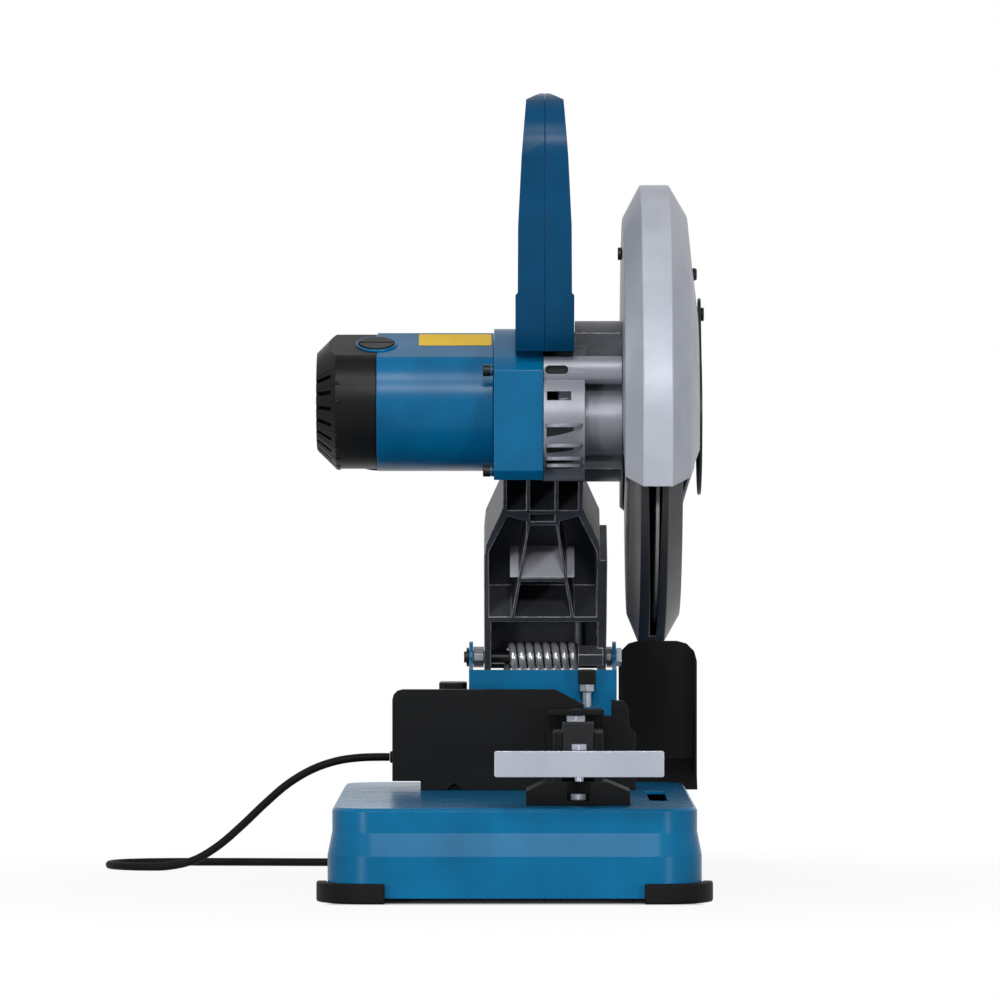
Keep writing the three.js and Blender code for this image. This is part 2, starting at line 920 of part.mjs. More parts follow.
// The torsion spring: a leg behind the front plate, the curls round the shaft, and a leg up to the arm.
function torsionSpring() {
  const places = [];
  const level = pivot.z - spring.tangDrop;
  const plateBack = bracket.front + bracket.sheet + gap;
  const coilFoot = pivot.z - spring.radius;
  places.push(spot(spring.left, plateBack, level));
  places.push(spot(spring.left, plateBack + 2 * spring.wire, level));
  places.push(spot(spring.left, (plateBack + pivot.y) / 2, (level + coilFoot) / 2));
  const startAngle = -Math.PI / 2;
  const turn = 2 * Math.PI * spring.curls + lean - startAngle;
  const steps = Math.round((turn / (2 * Math.PI)) * spring.steps);
  for (let step = 0; step <= steps; step += 1) {
    const angle = startAngle + (turn * step) / steps;
    const x = spring.left + ((spring.right - spring.left) * step) / steps;
    places.push(
      spot(x, pivot.y + spring.radius * Math.cos(angle), pivot.z + spring.radius * Math.sin(angle)),
    );
  }
  const up = spot(0, -Math.sin(lean), Math.cos(lean));
  const last = places[places.length - 1];
  const reach = arm.webBottom - gap;
  places.push(last.clone().addScaledVector(up, reach - 2 * spring.wire));
  places.push(last.clone().addScaledVector(up, reach));
  const apart = leastGap(places, spring.wire, spring.steps / 2);
  console.log(`torsion_spring: least gap to itself ${apart.toFixed(2)} mm`);
  return wound(places, spring.wire, spring.sides);
}

function stopScrew() {
  const centre = spot(stop.x, stop.y, 0);
  return join(
    hexagon(alongZ, centre, stop.headRadius, stop.headTop - stop.headHeight, stop.headTop),
    rod(alongZ, centre, stop.radius, stop.bottom, stop.headTop - stop.headHeight / 2),
  );
}

// The fence: an upright plate with a stepped right-hand horn, on a foot bolted through the base.
function fencePlate() {
  const width = fence.right - fence.left;
  const tall = fence.height - fence.bottom;
  const topShares = [
    [1, 0],
    [1, 0.52],
    [0.972, 0.6],
    [0.969, 0.79],
    [0.951, 0.87],
    [0.899, 0.89],
    [0.899, 0.715],
    [0.787, 0.715],
    [0.787, 0.834],
    [0.67, 1],
  ];
  const outline = topShares.map(([u, v]) => [fence.left + u * width, base.top + fence.bottom + v * tall]);
  for (let step = 0; step <= cornerSteps; step += 1) {
    const angle = Math.PI / 2 + ((step / cornerSteps) * Math.PI) / 2;
    outline.push([
      fence.left + fence.cornerRadius * (1 + Math.cos(angle)),
      base.top + fence.height - fence.cornerRadius * (1 - Math.sin(angle)),
    ]);
  }
  outline.push([fence.left, base.top + fence.bottom]);
  const plate = slabY(outline, fence.face, fence.face + fence.plate);
  const sole = block(
    fence.footLeft,
    fence.right,
    fence.face,
    fence.face + fence.footDepth,
    base.top,
    base.top + fence.bottom,
  );
  const relief = slabY(
    [
      [fence.reliefX - fence.reliefWidth / 2, base.top - overrun],
      [fence.reliefX + fence.reliefWidth / 2, base.top - overrun],
      [fence.reliefX, base.top + fence.reliefHeight],
    ],
    fence.face - overrun,
    fence.face + fence.plate,
  );
  const ribs = [fence.footLeft + fence.plate, (fence.slotX + fence.pivotX) / 2].map((x) =>
    slabX(
      [
        [fence.face + fence.plate / 2, base.top + fence.bottom / 2],
        [fence.face + fence.footDepth - fence.plate, base.top + fence.bottom / 2],
        [fence.face + fence.plate / 2, base.top + tall * fence.ribShare],
      ],
      x,
      x + fence.plate,
    ),
  );
  const holes = [fence.slotX, fence.pivotX].map((x) =>
    rod(
      alongZ,
      spot(x, fencePivot.y, 0),
      fenceBolt.radius + gap,
      base.top - overrun,
      base.top + fence.bottom + overrun,
    ),
  );
  return join(plate, sole, ...ribs).subtract(join(relief, ...holes));
}

// The vise bracket: a casting with two cheeks, a bored guide and a recess for its bolt.
const viseAxis = spot(vise.x, 0, base.top + vise.z);
const viseBack = vise.front + vise.depth;

function viseBracket() {
  const top = base.top;
  const body = slabY(
    [
      [vise.footLeft, top],
      [vise.footRight, top],
      [vise.footRight, top + vise.footHeight],
      [vise.innerRight, top + vise.deck],
      [vise.innerLeft, top + vise.deck],
      [vise.footLeft, top + vise.footHeight],
    ],
    vise.front,
    viseBack,
  );
  const cheeks = [-1, 1].map((side) => {
    const inner = vise.x + side * vise.cheekInner;
    const outer = inner + side * vise.cheek;
    const [x0, x1] = [Math.min(inner, outer), Math.max(inner, outer)];
    return block(x0, x1, vise.front + vise.cheekInset, viseBack, top + vise.footHeight, top + vise.cheekTop);
  });
  const guideHalf = vise.cheekInner + vise.cheek / 2;
  const guideLow = top + vise.footHeight;
  const guide = block(
    vise.x - guideHalf,
    vise.x + guideHalf,
    viseBack - vise.guideDepth,
    viseBack,
    guideLow,
    top + vise.guideTop,
  );
  const half = vise.recess / 2;
  const cuts = [
    rod(alongY, viseAxis, vise.radius + running, vise.front - overrun, viseBack + overrun, fine / 2),
    block(
      vise.x - half,
      vise.x + half,
      vise.front - overrun,
      viseBoltY + half,
      top + vise.recessFloor,
      top + vise.deck + overrun,
    ),
    rod(alongZ, spot(vise.x, viseBoltY, 0), bolt.radius + gap, top - overrun, top + vise.deck),
    rod(alongX, nutPivot, vise.pinRadius + gap, vise.x - 2 * guideHalf, vise.x + 2 * guideHalf),
  ];
  return join(body, ...cheeks, guide).subtract(join(...cuts));
}

// The half nut lies on the screw between the cheeks and tips up about its own trunnions.
const nutBack = viseBack - vise.guideDepth - running;
const nutPivot = spot(0, nutBack - vise.pinInset, base.top + vise.pinHeight);

function halfNut() {
  const half = vise.cheekInner - running;
  const front = nutBack - vise.nutLength;
  const grip = block(
    vise.x - half,
    vise.x + half,
    front,
    front + vise.nutFoot,
    viseAxis.z,
    base.top + vise.nutTop,
  );
  const tailLow = viseAxis.z + vise.radius + 2 * running;
  const tail = block(vise.x - half, vise.x + half, front, nutBack, tailLow, base.top + vise.nutTop);
  const reach = vise.cheekInner + vise.cheek;
  const trunnions = rod(alongX, nutPivot, vise.pinRadius, vise.x - reach, vise.x + reach);
  const thread = rod(alongY, viseAxis, vise.radius + running, front - overrun, nutBack + overrun, fine / 2);
  return join(grip, tail, trunnions).subtract(thread);
}

// The vise screw, its handle bar with a hub, and the bolt that pins them together.
const hubBack = screw.barFront + screw.barThick + screw.hub;
const yokeFront = jaw.face - jaw.boltBack - yoke.length;
const crossY = hubBack - screw.hub / 2;

function viseScrew() {
  const body = join(
    rod(alongY, viseAxis, vise.radius, screw.barFront + screw.barThick + gap, yokeFront - gap, fine / 2),
    rod(alongY, viseAxis, yoke.neck, yokeFront - overrun, yokeFront + yoke.neckLength),
  );
  const hole = rod(alongZ, spot(vise.x, crossY, 0), crossBolt.radius + gap, base.top, base.top + 2 * vise.z);
  return body.subtract(hole);
}

function viseHandle() {
  const half = screw.bar / 2;
  const high = screw.barHeight / 2;
  const outline = roundedBox(vise.x - half, vise.x + half, viseAxis.z - high, viseAxis.z + high, screw.corner);
  const flat = slabY(outline, screw.barFront, screw.barFront + screw.barThick);
  const hub = rod(alongY, viseAxis, screw.hubRadius, screw.barFront + screw.barThick / 2, hubBack, fine / 2);
  const bore = rod(
    alongY,
    viseAxis,
    vise.radius + gap,
    screw.barFront + screw.barThick,
    hubBack + overrun,
    fine / 2,
  );
  const cross = rod(
    alongZ,
    spot(vise.x, crossY, 0),
    crossBolt.radius + gap,
    viseAxis.z - 2 * high,
    viseAxis.z + 2 * high,
  );
  return join(flat, hub).subtract(join(bore, cross));
}

function handleBolt() {
  const centre = spot(vise.x, crossY, 0);
  const top = viseAxis.z + screw.hubRadius + gap;
  const low = viseAxis.z - screw.hubRadius - gap;
  return join(
    rod(alongZ, centre, crossBolt.radius, low - crossBolt.tailHeight, top + crossBolt.headHeight / 2),
    hexagon(alongZ, centre, crossBolt.head, top, top + crossBolt.headHeight),
    rod(alongZ, centre, crossBolt.tail, low - crossBolt.tailHeight, low),
  );
}

// The yoke slides with the screw; the jaw swivels on it about a vertical bolt.
const jawBoltY = jaw.face - jaw.boltBack;

function jawYoke() {
  const low = base.top + yoke.bottom;
  const high = base.top + yoke.top;
  const nose = rod(alongZ, spot(vise.x, jawBoltY, 0), yoke.half, low, high, fine);
  const stem = block(vise.x - yoke.half, vise.x + yoke.half, yokeFront, jawBoltY, low, high);
  const socket = rod(
    alongY,
    viseAxis,
    yoke.neck + running,
    yokeFront - overrun,
    yokeFront + yoke.neckLength + running,
  );
  const pinHole = rod(alongZ, spot(vise.x, jawBoltY, 0), jaw.boltRadius + gap, low - overrun, high + overrun);
  return join(nose, stem).subtract(join(socket, pinHole));
}

function viseJaw() {
  const x0 = vise.x - jaw.width / 2;
  const x1 = vise.x + jaw.width / 2;
  const low = base.top + jaw.bottom;
  const high = base.top + jaw.top;
  const back = jaw.face - jaw.depth;
  const pinHole = rod(alongZ, spot(vise.x, jawBoltY, 0), jaw.boltRadius + gap, low - overrun, high + overrun);
  return join(
    block(x0, x1, jaw.face - jaw.plate, jaw.face, low, high),
    block(x0, x1, back, jaw.face, high - jaw.cap, high),
    block(x0 + jaw.plate, x1 - jaw.plate, jawBoltY - jaw.plate, jaw.face, low, low + jaw.cap),
  ).subtract(pinHole);
}

function jawBolt() {
  const centre = spot(vise.x, jawBoltY, 0);
  const under = base.top + jaw.top - jaw.cap - gap;
  return join(
    rod(alongZ, centre, jaw.boltRadius, base.top + jaw.bottom, base.top + jaw.top),
    hexagon(alongZ, centre, jaw.collarRadius, under - jaw.collarHeight, under),
  );
}

// The spark guard: a bent sheet with two side flanges, screwed to the rear wall of the base.
function sparkGuard() {
  const seat = baseHalfLength + gap;
  const out = baseHalfLength + spark.reach;
  const sheet = slabX(
    [
      [seat, spark.foot],
      [seat + spark.sheet, spark.foot],
      [seat + spark.sheet, spark.bend - spark.sheet / 2],
      [out + spark.sheet, spark.bendTop - spark.sheet / 2],
      [out + spark.sheet, spark.top],
      [out, spark.top],
      [out, spark.bendTop + spark.sheet / 2],
      [seat, spark.bend + spark.sheet / 2],
    ],
    sparkLeft,
    sparkRight,
  );
  const slope = (spark.bendTop - spark.bend) / spark.reach;
  const low = spark.bendTop - spark.sheet / 2;
  const flanges = [sparkLeft, sparkRight - spark.sheet].map((x) =>
    slabX(
      [
        [out - spark.flange, low - spark.flange * slope],
        [out + spark.sheet, low],
        [out + spark.sheet, spark.top],
        [out - spark.flange, spark.top],
      ],
      x,
      x + spark.sheet,
    ),
  );
  const panel = roundedBox(sparkLeft, sparkRight, spark.bendTop, spark.top, spark.topRound);
  const rounded = slabY(
    [
      [sparkLeft, spark.foot],
      [sparkTabRight, spark.foot],
      [sparkTabRight, spark.bend],
      [sparkRight, spark.bend],
      ...panel.slice(cornerSteps + 1, -cornerSteps - 1),
    ],
    seat - overrun,
    out + spark.sheet + overrun,
  );
  return join(sheet, ...flanges)
    .intersect(rounded)
    .subtract(join(...sparkHoles(baseHalfLength, out)));
}

// The strip inside the rear wall that both spark guard screws thread into, with those screws.
function sparkStrip() {
  const inside = baseHalfLength - base.sheet - gap;
  const outside = baseHalfLength + 2 * gap + spark.sheet;
  const strap = block(
    sparkLeft,
    sparkTabRight,
    inside - strip.thick,
    inside,
    spark.screwZ - strip.half,
    spark.screwZ + strip.half,
  );
  const shanks = sparkHoles(inside - strip.thick / 2, outside + strip.headHeight / 2, strip.radius);
  const heads = sparkHoles(outside, outside + strip.headHeight, strip.head);
  return join(strap, ...shanks, ...heads);
}

// The terminal box behind the fence, the strain relief on its side and the supply cord.
function cordBoxBody() {
  const outline = roundedBox(cordBox.left, cordBox.right, cordBox.front, cordBox.back, cordBox.bevel, 1);
  return slabZ(outline, base.top, base.top + cordBox.height);
}

const reliefRoot = cordBox.left - gap;
const reliefTip = reliefRoot - cord.relief;
const cordExit = spot(0, cord.y, cord.exitHeight);

function strainRelief() {
  const flange = cord.reliefRoot / 2;
  return turned(
    [
      [reliefTip, 0],
      [reliefTip, cord.reliefTip],
      [reliefRoot - flange, cord.reliefRoot - gap],
      [reliefRoot - flange, cord.reliefRoot + 2 * gap],
      [reliefRoot, cord.reliefRoot + 2 * gap],
      [reliefRoot, 0],
    ],
    alongX,
    cordExit,
  );
}

// The coil lies behind the saw: layers of turns that spiral in and out again.
const coilCentre = spot(coil.x, coil.y, cord.radius + gap / 2);
const coilOut = coil.middle + (coil.spacing * coil.turns) / 4;
const coilStart = spot(coilCentre.x - 2.4 * cord.radius, coilCentre.y - coilOut, coilCentre.z);

function coilPlaces() {
  const places = [coilStart.clone()];
  const half = coil.turns / 2;
  const steps = coil.turns * coil.steps;
  for (let step = 0; step <= steps; step += 1) {
    const turn = step / coil.steps;
    const radius = coilOut - coil.spacing * Math.min(turn, coil.turns - turn);
    const angle = 2 * Math.PI * turn - Math.PI / 2;
    const climb = THREE.MathUtils.smoothstep(turn, half - 1 / 4, half + 1 / 4);
    places.push(
      spot(
        coilCentre.x + radius * Math.cos(angle),
        coilCentre.y + radius * Math.sin(angle),
        coilCentre.z + coil.layer * climb,
      ),
    );
  }
  const level = coilCentre.z + coil.layer;
  places.push(spot(coilCentre.x + coil.lead - 2 * cord.radius, coilCentre.y - coilOut, level));
  places.push(spot(coilCentre.x + coil.lead, coilCentre.y - coilOut, level));
  return places;
}

function cordCoil() {
  const places = coilPlaces();
  const apart = leastGap(places, cord.radius, coil.steps / 2);
  console.log(`cord_coil: least gap to itself ${apart.toFixed(2)} mm`);
  return wound(places, cord.radius, coil.sides);
}

// The cord's free run, chosen by hand: out of the relief, down beside the base, round on the floor and back.
const cordRun = [
  [reliefTip - gap, cord.y, cord.exitHeight],
  [-122, 215, 103],
  [-140, 215, 102.4],
  [-160, 215, 99.5],
  [-182, 215, 92],
  [-204, 215, 79],
  [-225, 215, 61],
  [-246, 215, 41],
  [-267, 215, 23],
  [-289, 215.5, 10],
  [-312, 217, 4.6],
  [-334, 221, 3.8],
  [-354, 231, 3.8],
  [-366, 248, 3.8],
  [-366, 268, 3.8],
  [-355, 285, 3.8],
  [-336, 295, 3.8],
  [-310, 299.5, 3.8],
  [-275, 300, 3.8],
  [-235, 298, 3.8],
  [-190, 295, 3.8],
  [-145, 294, 3.8],
  [-105, 295.8, 3.8],
  [coilStart.x - 3 * cord.radius, coilStart.y, coilStart.z],
  [coilStart.x - gap, coilStart.y, coilStart.z],
];

function cordTube() {
  const path = new THREE.CatmullRomCurve3(cordRun.map((place) => spot(...place)), false, "centripetal");
  const steps = Math.round(path.getLength() / (5 * cord.radius));
  console.log(`cord: ${path.getLength().toFixed(0)} mm free`);
  return bar(path, cord.radius, steps, cord.sides);
}

function cordPlug() {
  const level = coilCentre.z + coil.layer;
  const y = coilStart.y;
  const from = coilCentre.x + coil.lead + gap;
  const bodyFrom = from + plug.relief;
  const bodyTo = bodyFrom + plug.body;
  const low = level - plug.height / 2;
  const outline = roundedBox(y - plug.half, y + plug.half, low, low + plug.height, plug.height / 3);
  const axis = spot(0, y, level);
  const relief = turned(
    [
      [from, 0],
      [from, cord.reliefTip],
      [bodyFrom + overrun, cord.reliefRoot],
      [bodyFrom + overrun, 0],
    ],
    alongX,
    axis,
  );
  const pins = [-1, 1].map((side) =>
    rod(
      alongX,
      spot(0, y + side * plug.pinSpread, level),
      plug.pin,
      bodyTo - overrun,
      bodyTo + plug.pinLength,
    ),
  );
  return join(relief, slabX(outline, bodyFrom, bodyTo), ...pins);
}

// The arm: an open-fronted casting with ribs, drawn upright and then leant forward at the pivot.
const armPocketShares = [
  [[-0.61, 0.76], [-0.28, 0.76], [-0.28, 0.93], [-0.61, 0.93]],
  [[-0.22, 0.76], [0.2, 0.76], [0.2, 0.93], [-0.22, 0.93]],
  [[0.26, 0.76], [0.6, 0.76], [0.6, 0.93], [0.26, 0.93]],
  [[-0.22, 0.71], [0.2, 0.71], [0.2, 0.742], [-0.22, 0.742]],
  [[-0.365, 0.454], [0.365, 0.454], [0.225, 0.692], [-0.225, 0.692]],
  [[-0.485, 0.275], [0.485, 0.275], [0.378, 0.437], [-0.378, 0.437]],
  [[-0.92, 0.275], [-0.535, 0.275], [-0.28, 0.655], [-0.28, 0.71], [-0.6, 0.735], [-0.92, 0.57]],
  [[0.92, 0.275], [0.92, 0.57], [0.6, 0.735], [0.28, 0.71], [0.28, 0.655], [0.535, 0.275]],
];

function armCasting() {
  const left = (half) => arm.centre - half;
  const right = (half) => arm.centre + half;
  const shape = new THREE.Shape(
    [
      [armRight, -arm.bossRadius],
      [armRight, arm.shoulderBottom],
      [right(arm.shoulderHalf), arm.shoulderBottom],
      [right(arm.shoulderHalf), arm.shoulder],
      [right(arm.topHalf), arm.neck],
      [right(arm.topHalf), arm.top],
      [left(arm.topHalf), arm.top],
      [left(arm.topHalf), arm.neck],
      [left(arm.shoulderHalf), arm.shoulder],
      [armLeft, arm.shoulderBottom],
      [armLeft, -arm.bossRadius],
      [armLeft + arm.wall, -arm.bossRadius],
      [armLeft + arm.wall, arm.webBottom],
      [armRight - arm.wall - overrun, arm.webBottom],
      [armRight - arm.wall - overrun, -arm.bossRadius],
    ].map(([x, z]) => new THREE.Vector2(x, z)),
  );
  const side = [
    [arm.front, arm.top],
    [arm.front, arm.webBottom],
  ];
  for (let step = 0; step <= coarse / 2; step += 1) {
    const angle = Math.PI * (1 + step / (coarse / 2));
    side.push([arm.bossRadius * Math.cos(angle), arm.bossRadius * Math.sin(angle)]);
  }
  side.push([arm.back, arm.webBottom], [arm.back, arm.top]);
  const outer = slabY(shape, arm.front, arm.back).intersect(slabX(side, armLeft, armRight));
  const pockets = armPocketShares.map((shares) =>
    slabY(
      shares.map(([u, v]) => [arm.centre + u * arm.legHalf, v * arm.top]),
      arm.front - overrun,
      arm.webBack,
    ),
  );
  const bores = [
    [armLeft - overrun, armLeft + arm.wall + overrun],
    [armRight - arm.wall - 2 * overrun, armRight + overrun],
  ].map(([from, to]) => rod(alongX, spot(0, 0, 0), pivot.shaftRadius + gap, from, to));
  const rear = block(armLeft, armRight, arm.springBack, arm.webBack, arm.rearBottom, arm.webBottom + overrun);
  const lug = block(arm.lugLeft, armRight - arm.wall / 2, arm.front, arm.lugBack, arm.lugLow, arm.lugHigh);
  const upright = join(outer.subtract(join(...pockets, ...bores)), rear, lug);
  const placed = new THREE.Matrix4().makeRotationX(lean).setPosition(0, pivot.y, pivot.z);
  const seat = join(
    slabX(collarOutline(gap), motor.seam - gap, gearbox.left),
    slabX(gearboxOutline(gap), gearbox.left - gap, gearbox.right + gap),
    rod(alongX, motorAxis, motor.radius + gap, motor.capSeam, motor.seam, 2 * fine),
  );
  return join(moved(upright, placed), headFlange()).subtract(seat);
}

// The disc on top of the arm, between the gear housing and the fixed guard.
function headFlange() {
  const { flangeLeft, flangeRight, flangeRadius, flangeFront, bossRadius } = gearbox;
  const disc = rod(alongX, motorAxis, flangeRadius, flangeLeft, flangeRight, 2 * fine);
  const span = [motor.z - 2 * flangeRadius, motor.z + 2 * flangeRadius];
  const behind = block(flangeLeft, flangeRight, flangeFront, motor.y + 2 * flangeRadius, ...span);
  const bossHole = rod(alongX, wheelAxis, bossRadius + gap, flangeLeft - overrun, flangeRight + overrun, fine);
  return disc.intersect(behind).subtract(bossHole);
}

// A copy of a solid, put somewhere else.
function moved(shape, matrix) {
  const data = shape.getMesh();
  const geometry = new THREE.BufferGeometry();
  geometry.setAttribute("position", new THREE.BufferAttribute(new Float32Array(data.vertProperties), 3));
  geometry.setIndex(new THREE.BufferAttribute(new Uint32Array(data.triVerts), 1));
  geometry.applyMatrix4(matrix);
  return solid(geometry);
}

const motorAxis = spot(0, motor.y, motor.z);
const wheelAxis = spot(0, wheel.y, wheel.z);

// Points on a circle in Y and Z. Angles are in degrees from +Y towards +Z.
function arcPoints(centre, radius, fromDegrees, toDegrees, steps) {
  return Array.from({ length: steps + 1 }, (_, step) => {
    const angle = THREE.MathUtils.degToRad(fromDegrees + ((toDegrees - fromDegrees) * step) / steps);
    return [centre.y + radius * Math.cos(angle), centre.z + radius * Math.sin(angle)];
  });
}

function collarOutline(grow = 0) {
  const { front, bottom, shoulder, brow, bevel } = collar;
  return [
    [front + bevel, bottom - grow],
    [wheel.y, bottom - grow],
    ...arcPoints(motorAxis, collar.radius + grow, collar.fromAngle, collar.toAngle, fine),
    [front + brow - shoulder, brow + grow],
    [front - grow, shoulder],
    [front - grow, bottom + bevel],
  ];
}

function gearboxOutline(grow = 0) {
  return [
    ...arcPoints(motorAxis, gearbox.motorRadius + grow, gearbox.motorFromAngle, gearbox.motorToAngle, fine),
    ...arcPoints(wheelAxis, gearbox.radius + grow, gearbox.wheelFromAngle, gearbox.wheelToAngle, fine),
  ];
}

// The half space outside the flat facet on top of the motor, as a block to cut with.
function facetBlock(distance, x0, x1) {
  const reach = 2 * motor.radius;
  const blank = block(x0, x1, distance, distance + reach, -reach, reach);
  const turn = new THREE.Matrix4().makeRotationX(Math.PI - motor.facetTilt);
  return moved(blank, turn.setPosition(0, motor.y, motor.z));
}

function motorCollar() {
  const wallLeft = gearbox.left - bearing.wide - overrun;
  const body = slabX(collarOutline(), motor.seam, gearbox.left - gap);
  const screws = [
    [collar.front + collar.bevel, collar.shoulder],
    [collar.front + collar.bevel, collar.bottom + collar.bevel],
  ].map(
    ([y, z]) => rod(
      alongX,
      spot(0, y, z),
      collar.screwRadius,
      motor.seam - collar.screwOut,
      motor.seam + overrun,
    ),
  );
  const cuts = [
    rod(alongX, motorAxis, collar.cavity, motor.seam - overrun, wallLeft, fine),
    rod(alongX, motorAxis, bearing.outer + gap, wallLeft - overrun, gearbox.left + overrun, fine),
  ];
  return join(body, ...screws).subtract(join(...cuts));
}

function motorHousing() {
  const from = motor.capSeam + gap;
  const to = motor.seam - gap;
  const body = ring(alongX, motorAxis, motor.bore, motor.radius, from, to, 2 * fine);
  const screwSpace = [
    [collar.front + collar.bevel, collar.shoulder],
    [collar.front + collar.bevel, collar.bottom + collar.bevel],
  ].map(
    ([y, z]) => rod(
      alongX,
      spot(0, y, z),
      collar.screwRadius + gap,
      to - collar.screwOut - gap,
      to + overrun,
    ),
  );
  return body.subtract(
    join(facetBlock(motor.facet, from - overrun, to + overrun), brushHoles(), ...screwSpace),
  );
}

function endCap() {
  const { left, chamfer, capRadius: outer, wall } = motor;
  const body = turned(
    [
      [left, 0],
      [left, outer - chamfer],
      [left + chamfer, outer],
      [motor.capSeam, outer],
      [motor.capSeam, 0],
    ],
    alongX,
    motorAxis,
    2 * fine,
  ).subtract(facetBlock(motor.facet, left - overrun, motor.capSeam + overrun));
  const cavity = turned(
    [
      [left + wall, 0],
      [left + wall, outer - chamfer - wall / 2],
      [left + chamfer, outer - wall],
      [motor.capSeam + overrun, outer - wall],
      [motor.capSeam + overrun, 0],
    ],
    alongX,
    motorAxis,
    fine,
  ).subtract(facetBlock(motor.facet - wall, left - overrun, motor.capSeam + 2 * overrun));
  const bossEnd = rotor.left + bearing.wide + overrun;
  const boss = rod(alongX, motorAxis, bearing.outer + wall, left + wall / 2, bossEnd, fine);
  const seat = rod(alongX, motorAxis, bearing.outer + gap, rotor.left - gap, bossEnd + overrun, fine);
  const vents = [];
  for (let vent = 0; vent < capVents.count; vent += 1) {
    const angle = ((vent + 1 / 2) / capVents.count) * 2 * Math.PI;
    const half = capVents.width / 2;
    const low = outer - chamfer - 2 * wall;
    const cut = block(left - overrun, left + chamfer - wall, low, outer, -half, half);
    const clear = Math.cos(angle - (Math.PI - motor.facetTilt)) < Math.cos(capVents.facetHalf);
    const turn = new THREE.Matrix4().makeRotationX(angle);
    if (clear) vents.push(moved(cut, turn.setPosition(motorAxis)));
  }
  return body.subtract(join(cavity, ...vents)).add(boss).subtract(join(seat, brushHoles()));
}

// The direction square to the motor's facet, and a place on it.
const facetNormal = spot(0, -Math.cos(motor.facetTilt), Math.sin(motor.facetTilt));

function brushHoles() {
  const centre = spot(brushCap.x, motor.y, motor.z);
  const reach = motor.radius + overrun;
  return join(
    rod(facetNormal, centre, brushCap.shank + gap, motor.bore - 2 * motor.wall, reach),
    rod(facetNormal, centre, brushCap.shank + gap, -reach, -motor.bore + 2 * motor.wall),
    rod(facetNormal, centre, brushCap.radius + gap, -reach, -brushCap.rearSeat, fine),
  );
}

// A brush cap: a slotted disc whose shank reaches through the wall. The sign picks the side.
function brushCapBody(sign, seat) {
  const centre = spot(brushCap.x, motor.y, motor.z);
  const direction = facetNormal.clone().multiplyScalar(sign);
  const face = seat + gap;
  const body = join(
    rod(direction, centre, brushCap.radius, face, face + brushCap.height, fine),
    rod(direction, centre, brushCap.shank, motor.bore - motor.wall, face + brushCap.height / 2),
  );
  const top = face + brushCap.height;
  const long = 2 * brushCap.radius;
  const cut = block(
    -long,
    long,
    top - brushCap.slotDepth,
    top + overrun,
    -brushCap.slotWidth / 2,
    brushCap.slotWidth / 2,
  );
  const turn = new THREE.Matrix4().makeRotationFromQuaternion(
    new THREE.Quaternion().setFromUnitVectors(alongY, direction),
  );
  return body.subtract(moved(cut, turn.setPosition(centre)));
}

function statorCore() {
  const inner = rotor.core + stator.airGap;
  return ring(alongX, motorAxis, inner, motor.bore - gap, stator.left, stator.right, fine);
}

// The rotor: shaft, core, commutator, fan and the pinion cut on its end.
function rotorBody() {
  const parts = [
    rod(alongX, motorAxis, rotor.shaft, rotor.left, rotor.right),
    rod(alongX, motorAxis, rotor.core, rotor.coreLeft, rotor.coreRight, fine),
    rod(alongX, motorAxis, rotor.commutator, rotor.commutatorLeft, rotor.commutatorRight, fine),
    rod(alongX, motorAxis, rotor.fanHub, rotor.fanLeft, rotor.fanRight),
    rod(alongX, motorAxis, rotor.fan, rotor.fanLeft, rotor.fanLeft + rotor.fanDisc, fine),
    slabX(
      toothedOutline(gears.pinionTeeth, motorAxis, offsetAngle + Math.PI),
      gears.left,
      gears.left + gears.thick,
    ),
  ];
  for (let blade = 0; blade < rotor.blades; blade += 1) {
    const half = rotor.bladeThick / 2;
    const shape = block(rotor.fanLeft, rotor.fanRight, rotor.fanHub / 2, rotor.fan - overrun, -half, half);
    const turn = new THREE.Matrix4().makeRotationX((blade / rotor.blades) * 2 * Math.PI);
    parts.push(moved(shape, turn.setPosition(motorAxis)));
  }
  return join(...parts);
}

// A gear's outline. A tooth space, or a tooth, points along the line between the two axes.
function toothedOutline(teeth, centre, towards, spaceFirst = false) {
  const pitchRadius = (gears.module * teeth) / 2;
  const pitchAngle = (2 * Math.PI) / teeth;
  const slack = gears.play / pitchRadius;
  const flankShares = [
    [-0.9, 0.37],
    [0.8, 0.13],
  ];
  const points = [];
  for (let tooth = 0; tooth < teeth; tooth += 1) {
    const middle = towards + (tooth + (spaceFirst ? 1 / 2 : 0)) * pitchAngle;
    const flank = ([depth, share], side) => {
      const radius = pitchRadius + depth * gears.module;
      const angle = middle + side * (share * pitchAngle - slack / 2);
      points.push([centre.y + radius * Math.cos(angle), centre.z + radius * Math.sin(angle)]);
    };
    flankShares.forEach((entry) => flank(entry, -1));
    flankShares.toReversed().forEach((entry) => flank(entry, 1));
  }
  return points;
}

function spindleGear() {
  const outline = toothedOutline(gears.wheelTeeth, wheelAxis, offsetAngle, true);
  const blank = slabX(outline, gears.left, gears.left + gears.thick);
  const bore = rod(
    alongX,
    wheelAxis,
    gears.bore + gap,
    gears.left - overrun,
    gears.left + gears.thick + overrun,
  );
  return blank.subtract(bore);
}

const wheelLeft = wheel.x - wheel.thick / 2;
const wheelRight = wheel.x + wheel.thick / 2;

function spindleBody() {
  const flangeRight = wheelLeft - gap;
  const noseRight = wheelRight - gap;
  const body = join(
    rod(alongX, wheelAxis, spindle.radius, spindle.left, noseRight, coarse),
    rod(alongX, wheelAxis, spindle.flange, flangeRight - spindle.flangeThick, flangeRight, fine),
    rod(alongX, wheelAxis, spindle.nose, flangeRight - overrun, noseRight, fine),
  );
  const tapped = rod(
    alongX,
    wheelAxis,
    spindle.boltRadius + gap,
    wheelRight - arborBolt.length,
    wheelRight + overrun,
  );
  return body.subtract(tapped);
}

